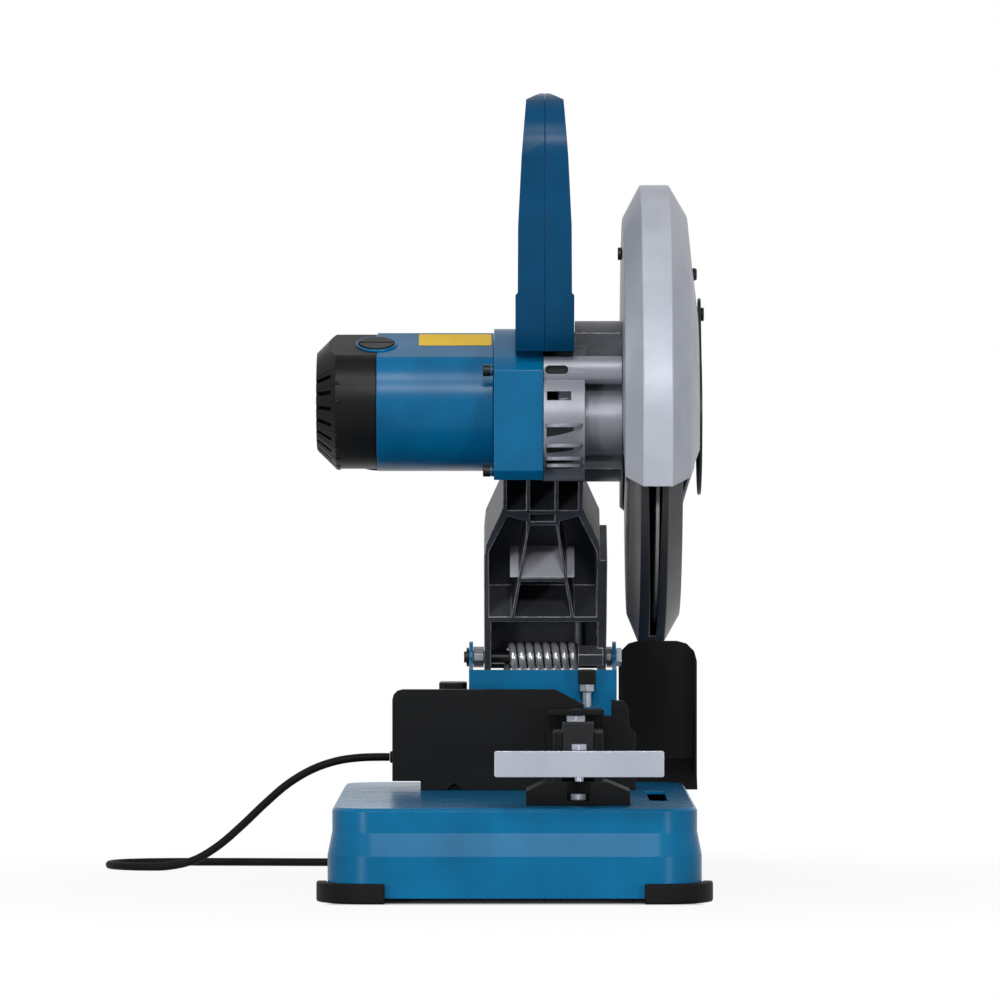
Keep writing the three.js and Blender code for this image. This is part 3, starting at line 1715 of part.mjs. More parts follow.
function cuttingWheel() {
  return ring(alongX, wheelAxis, wheel.bore, wheel.radius, wheelLeft, wheelRight, 2 * fine);
}

const flangeOuterRight = wheelRight + gap + spindle.flangeThick;

function outerFlange() {
  return ring(
    alongX,
    wheelAxis,
    spindle.boltRadius + gap,
    spindle.flange,
    wheelRight + gap,
    flangeOuterRight,
    fine,
  );
}

function arborBoltBody() {
  const seat = flangeOuterRight + gap;
  return join(
    hexagon(alongX, wheelAxis, arborBolt.head, seat, seat + arborBolt.headHeight),
    rod(alongX, wheelAxis, spindle.boltRadius, wheelRight - arborBolt.length + overrun, seat + overrun),
  );
}

// The gear housing: a shell round both gears, with the spindle's boss and the guards' spigot.
function gearHousing() {
  const g = gearbox;
  const inner = g.right - g.wall;
  const shell = slabX(gearboxOutline(), g.left, g.right);
  const cavity = slabX(gearboxOutline(-g.wall), g.left - overrun, inner);
  const bearingRight = g.right + bearing.spindleWide + g.wall;
  const boss = join(
    rod(alongX, wheelAxis, g.bossRadius, inner, g.bossRight, fine),
    rod(alongX, wheelAxis, g.spigotRadius, g.bossRight - overrun, g.spigotRight, fine),
  );
  const intake = block(
    g.intakeLeft,
    g.intakeRight,
    wheel.y - g.radius - overrun,
    wheel.y - g.radius / 2,
    g.intakeLow,
    g.intakeHigh,
  );
  const bore = rod(alongX, wheelAxis, bearing.spindleOuter + gap, inner - overrun, bearingRight, fine);
  const way = rod(
    alongX,
    wheelAxis,
    spindle.radius + running,
    bearingRight - overrun,
    g.spigotRight + overrun,
  );
  const rail = slabX(
    roundedBox(g.railFront, g.flangeFront - gap, g.railLow, g.railHigh, g.railRound),
    g.left,
    g.flangeRight,
  );
  const slotHalf = g.slotHeight / 2;
  const slotLevel = (g.railLow + g.railHigh) / 2;
  const lockSlot = slabY(
    roundedBox(g.slotLeft, g.slotRight, slotLevel - slotHalf, slotLevel + slotHalf, slotHalf - gap),
    g.railFront - overrun,
    g.railFront + g.slotDepth,
  );
  const body = shell.subtract(cavity).add(boss);
  return join(body, rail.subtract(cavity)).subtract(join(intake, bore, way, lockSlot));
}

// The fixed guard: a bevelled rim, a left plate on the spigot and a bulged right plate.
function upperGuardBody() {
  const g = upperGuard;
  const t = g.sheet;
  const eye = gearbox.spigotRadius + gap;
  const section = [
    [g.left, eye],
    [g.left, upperShoulder],
    [g.rimLeft, upperRim],
    [g.rimRight, upperRim],
    [g.right, upperShoulder + overrun],
    [g.right + (g.bulge - g.right) / 2, g.bulgeStart],
    [g.bulge, g.bulgeRadius],
    [g.bulge, g.eye],
    [g.bulge - t, g.eye],
    [g.bulge - t, g.bulgeRadius - t / 2],
    [g.right + (g.bulge - g.right) / 2 - t, g.bulgeStart],
    [g.right - t, upperShoulder],
    [g.rimRight - t / 2, upperRim - t],
    [g.rimLeft + t / 2, upperRim - t],
    [g.left + t, upperShoulder - t / 2],
    [g.left + t, eye],
  ];
  const body = swept(section, wheelAxis, g.rearAngle, 360 + g.frontAngle, g.steps);
  const screws = rod(alongX, guardScrewSpot, guardScrew.shank + gap, g.left - overrun, g.left + t + overrun);
  const coverHole = rod(alongX, coverPivot, cover.screw + gap, g.bulge - t - overrun, g.bulge + overrun);
  return body.subtract(join(screws, coverHole));
}

const guardScrewSpot = spot(0, wheel.y, wheel.z + guardScrew.radius);
const coverPivot = spot(0, wheel.y, wheel.z + cover.pivotRadius);

function guardScrewBody() {
  const seat = upperGuard.left - gap;
  return join(
    rod(alongX, guardScrewSpot, guardScrew.head, seat - guardScrew.headHeight, seat),
    rod(alongX, guardScrewSpot, guardScrew.shank, seat - overrun, upperGuard.left + upperGuard.sheet + gap),
  );
}

// The cover over the arbor bolt hangs from one screw on the guard and swings aside.
function arborCover() {
  const lobeHalf = Math.asin(cover.lobe / cover.pivotRadius);
  const outline = [
    ...arcPoints(wheelAxis, cover.radius, 90 + cover.spread, 450 - cover.spread, fine),
    ...arcPoints(coverPivot, cover.lobe, THREE.MathUtils.radToDeg(lobeHalf), 180, coarse / 2),
  ];
  const plate = slabX(outline, cover.left, cover.left + cover.thick);
  return plate.subtract(
    rod(alongX, coverPivot, cover.screw + gap, cover.left - overrun, cover.left + 2 * cover.thick),
  );
}

function coverScrew() {
  const seat = cover.left + cover.thick + gap;
  return join(
    rod(alongX, coverPivot, cover.head, seat, seat + cover.thick),
    rod(alongX, coverPivot, cover.screw, upperGuard.bulge - upperGuard.sheet - gap, seat + cover.thick / 2),
  );
}

// The moving guard turns on the spigot inside the fixed one, with a tapering slot down its front.
function lowerGuardBody() {
  const g = lowerGuard;
  const t = g.sheet;
  const eye = gearbox.spigotRadius + running;
  const section = [
    [g.left, eye],
    [g.left, lowerShoulder],
    [g.rimLeft, lowerRim],
    [g.rimRight, lowerRim],
    [g.right, lowerShoulder],
    [g.right, g.eye],
    [g.right - t, g.eye],
    [g.right - t, lowerShoulder - t / 2],
    [g.rimRight - t / 2, lowerRim - t],
    [g.rimLeft + t / 2, lowerRim - t],
    [g.left + t, lowerShoulder - t / 2],
    [g.left + t, eye],
  ];
  const body = swept(section, wheelAxis, g.frontAngle, g.rearAngle, g.steps);
  const hub = ring(alongX, wheelAxis, eye, eye + 4 * t, g.left, g.left + t, fine);
  const slotCut = slabY(
    [
      [g.slotLeft, wheel.z + lowerRim],
      [g.slotLeft + g.slotTaper, wheel.z - lowerRim * g.slotShare],
      [g.slotRight - g.slotTaper, wheel.z - lowerRim * g.slotShare],
      [g.slotRight, wheel.z + lowerRim],
    ],
    wheel.y - lowerRim - overrun,
    wheel.y - lowerRim / 2,
  );
  return body.add(hub).subtract(slotCut);
}

// The D-handle: its outline and finger gap from the side, and its thickness from the front.
const handleOutlineShares = [
  [0.26, 0],
  [1, 0.06],
  [1, 0.2],
  [1, 0.62],
  [0.97, 0.8],
  [0.88, 0.9],
  [0.72, 0.965],
  [0.53, 1],
  [0.3, 0.995],
  [0.12, 0.95],
  [0.02, 0.86],
  [0, 0.77],
  [0.03, 0.65],
];
const handleGapShares = [
  [0.52, 0.41],
  [0.73, 0.42],
  [0.77, 0.5],
  [0.76, 0.72],
  [0.7, 0.81],
  [0.55, 0.865],
  [0.4, 0.86],
  [0.31, 0.8],
  [0.31, 0.72],
  [0.45, 0.45],
];

// A closed outline, eased into a smooth curve of a number of straight steps.
function eased(points, steps) {
  const curve = new THREE.CatmullRomCurve3(points.map(([u, v]) => spot(u, v, 0)), true, "centripetal");
  return curve.getSpacedPoints(steps).slice(1).map(({ x, y }) => new THREE.Vector2(x, y));
}

function handleHalf(side) {
  const deep = handle.back - handle.front;
  const tall = handle.top - handle.bottom;
  const place = ([u, v]) => [handle.front + u * deep, base.top + handle.bottom + v * tall];
  const shape = new THREE.Shape(eased(handleOutlineShares.map(place), handle.steps));
  shape.holes.push(new THREE.Path(eased(handleGapShares.map(place), handle.gapSteps)));
  const body = slabX(shape, handle.centre - handle.footHalf, handle.centre + handle.footHalf);
  const level = (height) => base.top + height;
  const inner = handle.centre + (side * gap) / 2;
  const outer = (half) => handle.centre + side * half;
  const taper = slabY(
    [
      [inner, level(handle.bottom)],
      [outer(handle.footHalf), level(handle.bottom)],
      [outer(handle.footHalf), level(handle.collar)],
      [outer(handle.midHalf + gap), level(handle.collar + overrun)],
      [outer(handle.midHalf), level((handle.collar + handle.bend) / 2)],
      [outer(handle.bendHalf), level(handle.bend)],
      [outer(handle.topHalf), level(handle.brow)],
      [outer(handle.crownHalf), level(handle.top)],
      [inner, level(handle.top)],
    ],
    handle.front - overrun,
    handle.back + overrun,
  );
  const buttonAxis = spot(0, lockButton.y, lockButton.z);
  const triggerPivot = spot(0, trigger.pivotY, trigger.pivotZ);
  const trunnion = trigger.half + trigger.pinReach + gap;
  const cuts = [
    slabX(collarOutline(gap), motor.seam, gearbox.left),
    slabX(gearboxOutline(gap), gearbox.left - overrun, gearbox.right),
    block(
      handle.centre - handle.pocketHalf,
      handle.centre + handle.pocketHalf,
      handle.pocketFront,
      handle.pocketBack,
      handle.pocketLow,
      handle.pocketHigh,
    ),
    rod(alongX, triggerPivot, trigger.pinRadius + gap, handle.centre - trunnion, handle.centre + trunnion),
  ];
  if (side < 0) {
    cuts.push(
      rod(alongX, buttonAxis, lockButton.radius + gap, handle.centre - 2 * handle.midHalf, handle.centre),
    );
  }
  return body.intersect(taper).subtract(join(...cuts));
}

// The trigger, seen from the side, in shares of its depth and height from its pivot.
const triggerShares = [
  [-0.13, 0.07],
  [0.16, 0.07],
  [0.52, -0.16],
  [0.61, -0.47],
  [0.81, -0.71],
  [0.87, -0.9],
  [0.68, -0.93],
  [0.19, -0.85],
  [0.06, -0.41],
  [-0.13, -0.11],
];

// The trigger hangs from two moulded trunnions and is pulled towards the operator.
function triggerBody() {
  const { pivotY: y, pivotZ: z } = trigger;
  const outline = triggerShares.map(([u, v]) => [y + u * trigger.deep, z + v * trigger.tall]);
  const body = slabX(outline, handle.centre - trigger.half, handle.centre + trigger.half);
  const reach = trigger.half + trigger.pinReach;
  return body.add(
    rod(alongX, spot(0, y, z), trigger.pinRadius, handle.centre - reach, handle.centre + reach),
  );
}

function switchBlockBody() {
  const half = handle.pocketHalf - gap;
  return block(
    handle.centre - half,
    handle.centre + half,
    switchBlock.front,
    switchBlock.back,
    switchBlock.low,
    switchBlock.high,
  );
}

const buttonFace = handle.centre - handle.bendHalf + lockButton.sunk;

function lockButtonBody() {
  const end = handle.centre - handle.pocketHalf - lockButton.travel - running;
  const axis = spot(0, lockButton.y, lockButton.z);
  return rod(alongX, axis, lockButton.radius, buttonFace, end);
}

function bearingRing(axis, inner, outer, from, width) {
  return ring(alongX, axis, inner + gap, outer, from, from + width, fine);
}

// The whole saw, sub-part by sub-part.
const saw = new THREE.Group();

function addBase() {
  saw.add(piece("base_plate", basePlate(), bluePaint));
  for (const [side, signX] of [["left", -1], ["right", 1]]) {
    for (const [end, signY] of [["front", -1], ["rear", 1]]) {
      saw.add(piece(`foot_${end}_${side}`, cornerFoot(signX, signY), rubber));
    }
  }
  saw.add(piece("spark_guard", sparkGuard(), blackPaint));
  saw.add(piece("spark_guard_strip", sparkStrip(), steel));
}

function addPivot() {
  saw.add(piece("pivot_bracket", pivotBracket(), bluePaint));
  saw.add(piece("bracket_studs", bracketStuds(), steel));
  saw.add(piece("pivot_shaft", pivotShaft(), steel));
  saw.add(piece("pivot_nut", pivotNut(), steel));
  const leftEar = bracket.left + bracket.sheet + gap;
  const rightEar = bracket.right - bracket.sheet - gap;
  saw.add(piece("pivot_bushing_left", pivotBushing(leftEar, armLeft - running), steel));
  saw.add(piece("pivot_bushing_right", pivotBushing(armRight + running, rightEar), steel));
  saw.add(piece("torsion_spring", torsionSpring(), springSteel));
  saw.add(piece("stop_screw", stopScrew(), blackPlastic));
}

function addFence() {
  saw.add(piece("fence", fencePlate(), blackPaint));
  const top = base.top + fence.bottom;
  const below = fence.bottom + base.sheet + bolt.below;
  saw.add(piece("fence_bolt_left", plateBolt([fence.slotX, fencePivot.y], top, fenceBolt, below), steel));
  saw.add(piece("fence_bolt_right", plateBolt([fence.pivotX, fencePivot.y], top, fenceBolt, below), steel));
}

function addVise() {
  saw.add(piece("vise_bracket", viseBracket(), bluePaint));
  const recess = base.top + vise.recessFloor;
  const below = vise.recessFloor + base.sheet + bolt.below;
  saw.add(piece("vise_bolt", plateBolt([vise.x, viseBoltY], recess, bolt, below), steel));
  saw.add(piece("half_nut", halfNut(), blackPaint));
  saw.add(piece("vise_screw", viseScrew(), steel));
  saw.add(piece("vise_handle", viseHandle(), steel));
  saw.add(piece("handle_bolt", handleBolt(), steel));
  saw.add(piece("jaw_yoke", jawYoke(), castGrey));
  saw.add(piece("vise_jaw", viseJaw(), blackPaint));
  saw.add(piece("jaw_bolt", jawBolt(), steel));
}

function addCord() {
  saw.add(piece("cord_box", cordBoxBody(), blackPlastic));
  saw.add(piece("strain_relief", strainRelief(), rubber));
  saw.add(piece("cord", cordTube(), rubber));
  saw.add(piece("cord_coil", cordCoil(), rubber));
  saw.add(piece("plug", cordPlug(), blackPlastic));
}

function addHead() {
  saw.add(piece("arm", armCasting(), castGrey));
  saw.add(piece("motor_collar", motorCollar(), bluePaint));
  saw.add(piece("motor_housing", motorHousing(), bluePaint));
  saw.add(piece("end_cap", endCap(), blackPlastic));
  saw.add(piece("gear_housing", gearHousing(), castSilver));
  saw.add(piece("brush_cap_front", brushCapBody(1, motor.facet), blackPlastic));
  saw.add(piece("brush_cap_rear", brushCapBody(-1, brushCap.rearSeat), blackPlastic));
  saw.add(piece("stator", statorCore(), copper));
  const wall = gearbox.left - bearing.wide;
  const rear = rotor.left + gap;
  saw.add(
    piece(
      "rotor_bearing_front",
      bearingRing(motorAxis, rotor.shaft, bearing.outer, wall, bearing.wide - gap),
      steel,
    ),
  );
  saw.add(
    piece(
      "rotor_bearing_rear",
      bearingRing(motorAxis, rotor.shaft, bearing.outer, rear, bearing.wide),
      steel,
    ),
  );
  const seat = gearbox.right + gap;
  saw.add(
    piece(
      "spindle_bearing",
      bearingRing(wheelAxis, spindle.radius, bearing.spindleOuter, seat, bearing.spindleWide),
      steel,
    ),
  );
}

function addHandle() {
  saw.add(piece("handle_left", handleHalf(-1), darkBluePlastic));
  saw.add(piece("handle_right", handleHalf(1), darkBluePlastic));
  saw.add(piece("trigger", triggerBody(), blackPlastic));
  saw.add(piece("switch_block", switchBlockBody(), blackPlastic));
  saw.add(piece("lock_button", lockButtonBody(), blackPlastic));
}

function addGuards() {
  saw.add(piece("upper_guard", upperGuardBody(), guardSilver));
  saw.add(piece("guard_screw", guardScrewBody(), blackPaint));
  saw.add(piece("arbor_cover", arborCover(), guardDark));
  saw.add(piece("cover_screw", coverScrew(), steel));
  saw.add(piece("lower_guard", lowerGuardBody(), guardDark));
}

function addDrive() {
  saw.add(piece("rotor", rotorBody(), steel));
  saw.add(piece("spindle_gear", spindleGear(), steel));
  saw.add(piece("spindle", spindleBody(), steel));
  saw.add(piece("cutting_wheel", cuttingWheel(), abrasive));
  saw.add(piece("outer_flange", outerFlange(), steel));
  saw.add(piece("arbor_bolt", arborBoltBody(), steel));
}

addBase();
addPivot();
addFence();
addVise();
addCord();
addHead();
addHandle();
addGuards();
addDrive();

export default saw;
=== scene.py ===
"""Looks of an abrasive chop saw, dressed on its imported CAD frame.

Lengths in the classes are millimetres in the frame's own axes, unless a comment says metres: +Z up,
+X towards the wheel side, +Y away from the operator. Meshes are scaled to metres as they are made.
"""

from __future__ import annotations

import json
import logging
import math
from collections.abc import Sequence
from dataclasses import dataclass, field
from enum import Enum

import bmesh
import bpy
import numpy as np
from bmesh.types import BMesh
from bpy.types import Material, Mesh, Node, NodeTree, Object
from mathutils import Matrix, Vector

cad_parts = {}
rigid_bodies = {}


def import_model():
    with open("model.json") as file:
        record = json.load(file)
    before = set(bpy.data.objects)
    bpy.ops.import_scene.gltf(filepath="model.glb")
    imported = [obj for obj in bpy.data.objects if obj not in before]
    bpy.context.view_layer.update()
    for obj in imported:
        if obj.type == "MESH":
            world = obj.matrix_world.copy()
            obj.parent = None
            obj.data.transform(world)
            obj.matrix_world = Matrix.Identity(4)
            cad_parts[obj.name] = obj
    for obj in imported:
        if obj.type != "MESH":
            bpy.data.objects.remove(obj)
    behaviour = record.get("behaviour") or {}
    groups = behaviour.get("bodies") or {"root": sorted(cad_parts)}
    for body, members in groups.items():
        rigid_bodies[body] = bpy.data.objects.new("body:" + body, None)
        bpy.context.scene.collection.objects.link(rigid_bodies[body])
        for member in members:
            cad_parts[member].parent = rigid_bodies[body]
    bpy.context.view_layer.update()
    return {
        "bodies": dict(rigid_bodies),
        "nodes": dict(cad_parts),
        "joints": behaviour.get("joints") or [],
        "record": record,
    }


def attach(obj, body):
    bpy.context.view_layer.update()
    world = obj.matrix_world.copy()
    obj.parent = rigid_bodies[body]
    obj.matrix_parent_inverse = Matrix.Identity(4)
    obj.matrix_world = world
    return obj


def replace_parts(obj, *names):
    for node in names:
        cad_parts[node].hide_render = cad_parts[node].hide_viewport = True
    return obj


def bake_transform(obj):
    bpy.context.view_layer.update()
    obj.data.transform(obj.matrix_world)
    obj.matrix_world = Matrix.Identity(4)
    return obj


MM = 0.001
X_AXIS, Y_AXIS, Z_AXIS = np.eye(3)
Place = tuple[float, float, float]
Shape = tuple[np.ndarray, list]  # points, and the point numbers of each face
WHITE = (1.0, 1.0, 1.0, 1.0)
DEFAULT_IOR = 1.5
DRAWN_STRETCH = 14.0  # how much longer than wide the lines of drawn steel are
EDGE_PATCH_SIZE = 9.0  # size of the patches of painted edge highlight and of scuffed paint along an edge, mm
SHARP_OVER = 50.0  # shading breaks at an edge over this angle, in degrees, as are the next four
CAD_EDGE_OVER = 34.0  # an edge of a CAD node over this angle is rounded off
NEW_EDGE_OVER = 24.0  # the same for a new piece
CREASE_OVER = 4.0  # a level crease over this angle is kept sharp
FLAT_UNDER = 0.6  # faces that meet under this angle are made one
LEVEL_WITHIN = 0.05  # how far a level edge's ends may differ in height, mm
PIVOT = (234.5, 192.5)  # Y and Z of the axis that the head swings about
ARM_LEAN = 34.0  # how far the arm leans forward at rest, in degrees
WHEEL_AXIS = (38.0, 405.6)  # Y and Z of the axis of the wheel, its guards and the gear drum
log = logging.getLogger("chop_saw")


def linear(hex_colour: str) -> tuple[float, float, float, float]:
    """Turns an sRGB hex colour into the linear colour that a shader socket takes.

    Args:
        hex_colour: Six hexadecimal digits.

    Returns:
        Linear red, green, blue and an alpha of one.
    """
    channels = [int(hex_colour[at : at + 2], 16) / 255 for at in (0, 2, 4)]
    lit = [c / 12.92 if c <= 0.04045 else ((c + 0.055) / 1.055) ** 2.4 for c in channels]
    return (lit[0], lit[1], lit[2], 1.0)


def add_node(tree: NodeTree, kind: str, settings: dict, links: dict) -> Node:
    """Adds a node with its settings and links.

    Args:
        tree: The node tree that takes the node.
        kind: The node's type, without its prefix ShaderNode.
        settings: Values by property name, or by input name or number.
        links: Pairs of node and output, by input name or number.

    Returns:
        The new node.
    """
    node = tree.nodes.new(f"ShaderNode{kind}")
    for key, value in settings.items():
        if isinstance(key, str) and hasattr(node, key):
            setattr(node, key, value)
        else:
            node.inputs[key].default_value = value
    for key, (source, output) in links.items():
        tree.links.new(source.outputs[output], node.inputs[key])
    return node


class Relief(Enum):
    """The relief that a finish leaves on its surface."""

    ORANGE_PEEL = "soft waves of a baked powder coat"
    SAND_CAST = "pits and lumps of a sand casting"
    DRAWN = "fine lines along drawn or turned steel"
    MOULDED = "spark-eroded grain of a moulding tool"
    GRIT = "loose grains held in resin"


@dataclass(frozen=True)
class Finish:
    """One real material and how its surface was made."""

    name: str
    base: str  # main colour, sRGB
    shade: str  # second colour of the slow variation, sRGB
    edge: str  # colour of the painted edge highlight, which also stands for scuffed paint, sRGB
    relief: Relief
    roughness: float
    grain: float  # size of the relief, mm; drawn and moulded ones coarser than life, to show
    depth: float  # height of the relief, mm
    highlight_and_scuffing: float  # how much of an edge takes the painted highlight and scuffing, from 0 to 1
    sheen: float  # specular level: lower where the real surface mirrors less of a white room
    metallic: float = 0.0
    ior: float = DEFAULT_IOR
    spread: float = 0.08  # how far roughness wanders
    patch: float = 60.0  # size of the slow variation, mm
    edge_radius: float = 0.8  # how far an edge is rounded in its shading, mm

    def pattern(self, tree: NodeTree, place: Node) -> Node:
        """Adds the nodes of the fine relief.

        Args:
            tree: The material's node tree.
            place: The Texture Coordinate node.

        Returns:
            The node whose first output is the relief's height.
        """
        scale = 1 / (self.grain * MM)
        on_piece = {"Vector": (place, "Object")}
        if self.relief is Relief.DRAWN:
            lines = {"Scale": (1.0, 1.0, DRAWN_STRETCH)}
            stretch = add_node(tree, "Mapping", lines, on_piece)
            settings = {"Scale": scale / DRAWN_STRETCH, "Detail": 3.0}
            return add_node(tree, "TexNoise", settings, {"Vector": (stretch, "Vector")})
        if self.relief is Relief.GRIT:
            return add_node(tree, "TexVoronoi", {"Scale": scale}, on_piece)
        detail = {Relief.ORANGE_PEEL: 1.0, Relief.SAND_CAST: 6.0, Relief.MOULDED: 2.0}[self.relief]
        settings = {"Scale": scale, "Detail": detail, "Roughness": 0.6}
        return add_node(tree, "TexNoise", settings, on_piece)

    def material(self) -> Material:
        """Makes the material, or gives the one already made.

        Two colours drift into each other over the piece. A third, a painted edge highlight that
        also stands for scuffed paint, shows where the normal of the rounded edge departs from the
        flat face's and a coarse noise is high.

        Returns:
            The material of this finish.
        """
        made = bpy.data.materials.get(self.name)
        if made is not None:
            return made
        made = bpy.data.materials.new(self.name)
        made.use_nodes = True
        tree = made.node_tree
        tree.nodes.clear()
        place = add_node(tree, "TexCoord", {}, {})
        on_piece = {"Vector": (place, "Object")}
        drift = {"Scale": 1 / (self.patch * MM), "Detail": 5.0, "Roughness": 0.55}
        slow = add_node(tree, "TexNoise", drift, on_piece)
        clouded = {"From Min": 0.35, "From Max": 0.68}
        clouds = add_node(tree, "MapRange", clouded, {"Value": (slow, 0)})
        tones = {"data_type": "RGBA", 6: linear(self.base), 7: linear(self.shade)}
        tone = add_node(tree, "Mix", tones, {0: (clouds, 0)})
        rounding = {"samples": 6, "Radius": self.edge_radius * MM}
        round_off = add_node(tree, "Bevel", rounding, {})
        flat = add_node(tree, "NewGeometry", {}, {})
        normals = {0: (round_off, "Normal"), 1: (flat, "Normal")}
        facing = add_node(tree, "VectorMath", {"operation": "DOT_PRODUCT"}, normals)
        bent = {"From Min": 0.995, "From Max": 0.93}
        edges = add_node(tree, "MapRange", bent, {"Value": (facing, "Value")})
        # The edge colour is a painted highlight, laid in patches that also stand for scuffed paint.
        flecked = {"Scale": 1 / (EDGE_PATCH_SIZE * MM), "Detail": 8.0, "Roughness": 0.7}
        edge_patch_noise = add_node(tree, "TexNoise", flecked, on_piece)
        patch_levels = {"From Min": 0.62 - 0.3 * self.highlight_and_scuffing, "From Max": 0.72 - 0.2 * self.highlight_and_scuffing}
        patch_levels["To Max"] = self.highlight_and_scuffing
        edge_patches = add_node(tree, "MapRange", patch_levels, {"Value": (edge_patch_noise, 0)})
        times = {"operation": "MULTIPLY"}
        edge_highlight_and_scuffing = add_node(tree, "Math", times, {0: (edges, 0), 1: (edge_patches, 0)})
        edge_tone = {"data_type": "RGBA", 7: linear(self.edge)}
        colour = add_node(tree, "Mix", edge_tone, {0: (edge_highlight_and_scuffing, 0), 6: (tone, 2)})
        span = {"To Min": self.roughness - self.spread, "To Max": self.roughness + self.spread}
        rough = add_node(tree, "MapRange", span, {"Value": (slow, 0)})
        height = {"Height": (self.pattern(tree, place), 0), "Normal": (round_off, "Normal")}
        raised = {"Strength": 0.6, "Distance": self.depth * MM}
        bump = add_node(tree, "Bump", raised, height)
        body = {"Metallic": self.metallic, "IOR": self.ior, "Specular IOR Level": self.sheen}
        looks = {"Base Color": (colour, 2), "Roughness": (rough, 0), "Normal": (bump, "Normal")}
        shader = add_node(tree, "BsdfPrincipled", body, looks)
        add_node(tree, "OutputMaterial", {}, {"Surface": (shader, "BSDF")})
        return made


# Polyester powder baked on pressed steel: an even satin blue with faint orange peel.
BLUE_POWDER_COAT = Finish(
    "blue_powder_coated_steel", "056A98", "045C86", "6E97B4", Relief.ORANGE_PEEL,
    roughness=0.27, grain=2.4, depth=0.03, highlight_and_scuffing=0.2, sheen=0.12,
)
# Glass-filled nylon, moulded and slightly glossy: the motor's field case and its collar.
BLUE_NYLON = Finish(
    "blue_moulded_nylon", "046492", "03547E", "2B78AE", Relief.MOULDED,
    roughness=0.27, grain=1.6, depth=0.02, highlight_and_scuffing=0.2, sheen=0.14, ior=1.53,
)
# The same nylon with a finer grip grain, painted a deeper blue for the shade on the handle's faces:
# the handle shells.
SHADED_BLUE_NYLON = Finish(
    "shaded_blue_moulded_nylon", "02446A", "02395A", "2A7CA8", Relief.MOULDED,
    roughness=0.3, grain=1.4, depth=0.03, highlight_and_scuffing=0.3, sheen=0.1, ior=1.53,
)
# Black powder coat on sheet steel and on the fence casting: satin, nearly neutral.
BLACK_POWDER_COAT = Finish(
    "black_powder_coated_steel", "141516", "101112", "3C3F43", Relief.ORANGE_PEEL,
    roughness=0.36, grain=2.2, depth=0.05, highlight_and_scuffing=0.3, sheen=0.08,
)
# Dark grey paint over an aluminium sand casting: pitted, with a painted highlight along its ribs
# that also stands for scuffed paint.
PAINTED_CASTING = Finish(
    "dark_painted_aluminium_casting", "4B4D54", "3B3D43", "D4D6DA", Relief.SAND_CAST,
    roughness=0.42, grain=3.0, depth=0.1, highlight_and_scuffing=1.0, sheen=0.3, metallic=0.15, edge_radius=1.3,
)
# Bare die-cast aluminium: light grey and softly metallic.
DIE_CAST_ALUMINIUM = Finish(
    "bare_die_cast_aluminium", "8A8D96", "777A83", "D3D6DC", Relief.SAND_CAST,
    roughness=0.38, grain=2.6, depth=0.05, highlight_and_scuffing=0.5, sheen=0.4, metallic=0.15,
)
# Silver metallic enamel on the pressed wheel guard.
SILVER_ENAMEL = Finish(
    "silver_metallic_enamel", "B6BBC6", "A5AAB5", "E2E5EA", Relief.ORANGE_PEEL,
    roughness=0.42, grain=2.6, depth=0.02, highlight_and_scuffing=0.9, sheen=0.25, metallic=0.1,
)
# Dark grey metallic enamel on the moving guard and the arbor cover.
GRAPHITE_ENAMEL = Finish(
    "graphite_metallic_enamel", "26282D", "1F2125", "7C8087", Relief.ORANGE_PEEL,
    roughness=0.38, grain=2.6, depth=0.03, highlight_and_scuffing=0.6, sheen=0.25, metallic=0.15,
)
# Zinc-plated steel: bright, cool and finely drawn.
ZINC_STEEL = Finish(
    "zinc_plated_steel", "A8ADB8", "979CA8", "E0E3E8", Relief.DRAWN,
    roughness=0.32, grain=0.8, depth=0.01, highlight_and_scuffing=0.3, sheen=0.5, metallic=0.55,
)
# Drawn spring wire, nickel bright.
SPRING_WIRE = Finish(
    "bright_spring_steel", "C4C6CA", "ABAEB4", "E6E8EC", Relief.DRAWN,
    roughness=0.26, grain=0.9, depth=0.008, highlight_and_scuffing=0.0, sheen=0.5, metallic=0.6,
)
# Steel blackened in a hot oxide bath: dark, with a little oil sheen. It also colours the black
# plates of painted shade in the gear housing.
BLACK_OXIDE_AND_SHADE = Finish(
    "black_oxide_steel_and_painted_shade", "1B1C1E", "141516", "5A5D61", Relief.DRAWN,
    roughness=0.36, grain=0.9, depth=0.01, highlight_and_scuffing=0.4, sheen=0.3, metallic=0.4,
)
# Varnished copper windings and laminations, seen only through the vents.
MOTOR_LAMINATIONS = Finish(
    "varnished_laminated_iron", "6B4A35", "4F3A2C", "8A6A50", Relief.DRAWN,
    roughness=0.5, grain=0.9, depth=0.03, highlight_and_scuffing=0.0, sheen=0.5, metallic=0.7,
)
# Resin-bonded corundum with a glass-fibre web: pale, dry and gritty.
RESIN_BONDED_GRIT = Finish(
    "resin_bonded_corundum", "F0EDE7", "DAD5CA", "F2F0EB", Relief.GRIT,
    roughness=0.92, grain=1.8, depth=0.2, highlight_and_scuffing=0.0, sheen=0.3, ior=1.6, patch=25.0,
)
# Glass-filled nylon in black: end cap, switch, box and plug.
BLACK_NYLON = Finish(
    "black_moulded_nylon", "0F1011", "0B0C0D", "2C2E30", Relief.MOULDED,
    roughness=0.36, grain=1.5, depth=0.03, highlight_and_scuffing=0.3, sheen=0.1, ior=1.53,
)
# Vulcanised rubber of the feet and the cord's sheath: matte, a little dusty.
BLACK_RUBBER = Finish(
    "black_vulcanised_rubber", "080809", "0F0F10", "2A2A2B", Relief.MOULDED,
    roughness=0.6, grain=2.0, depth=0.06, highlight_and_scuffing=0.2, sheen=0.1, ior=1.52,
)
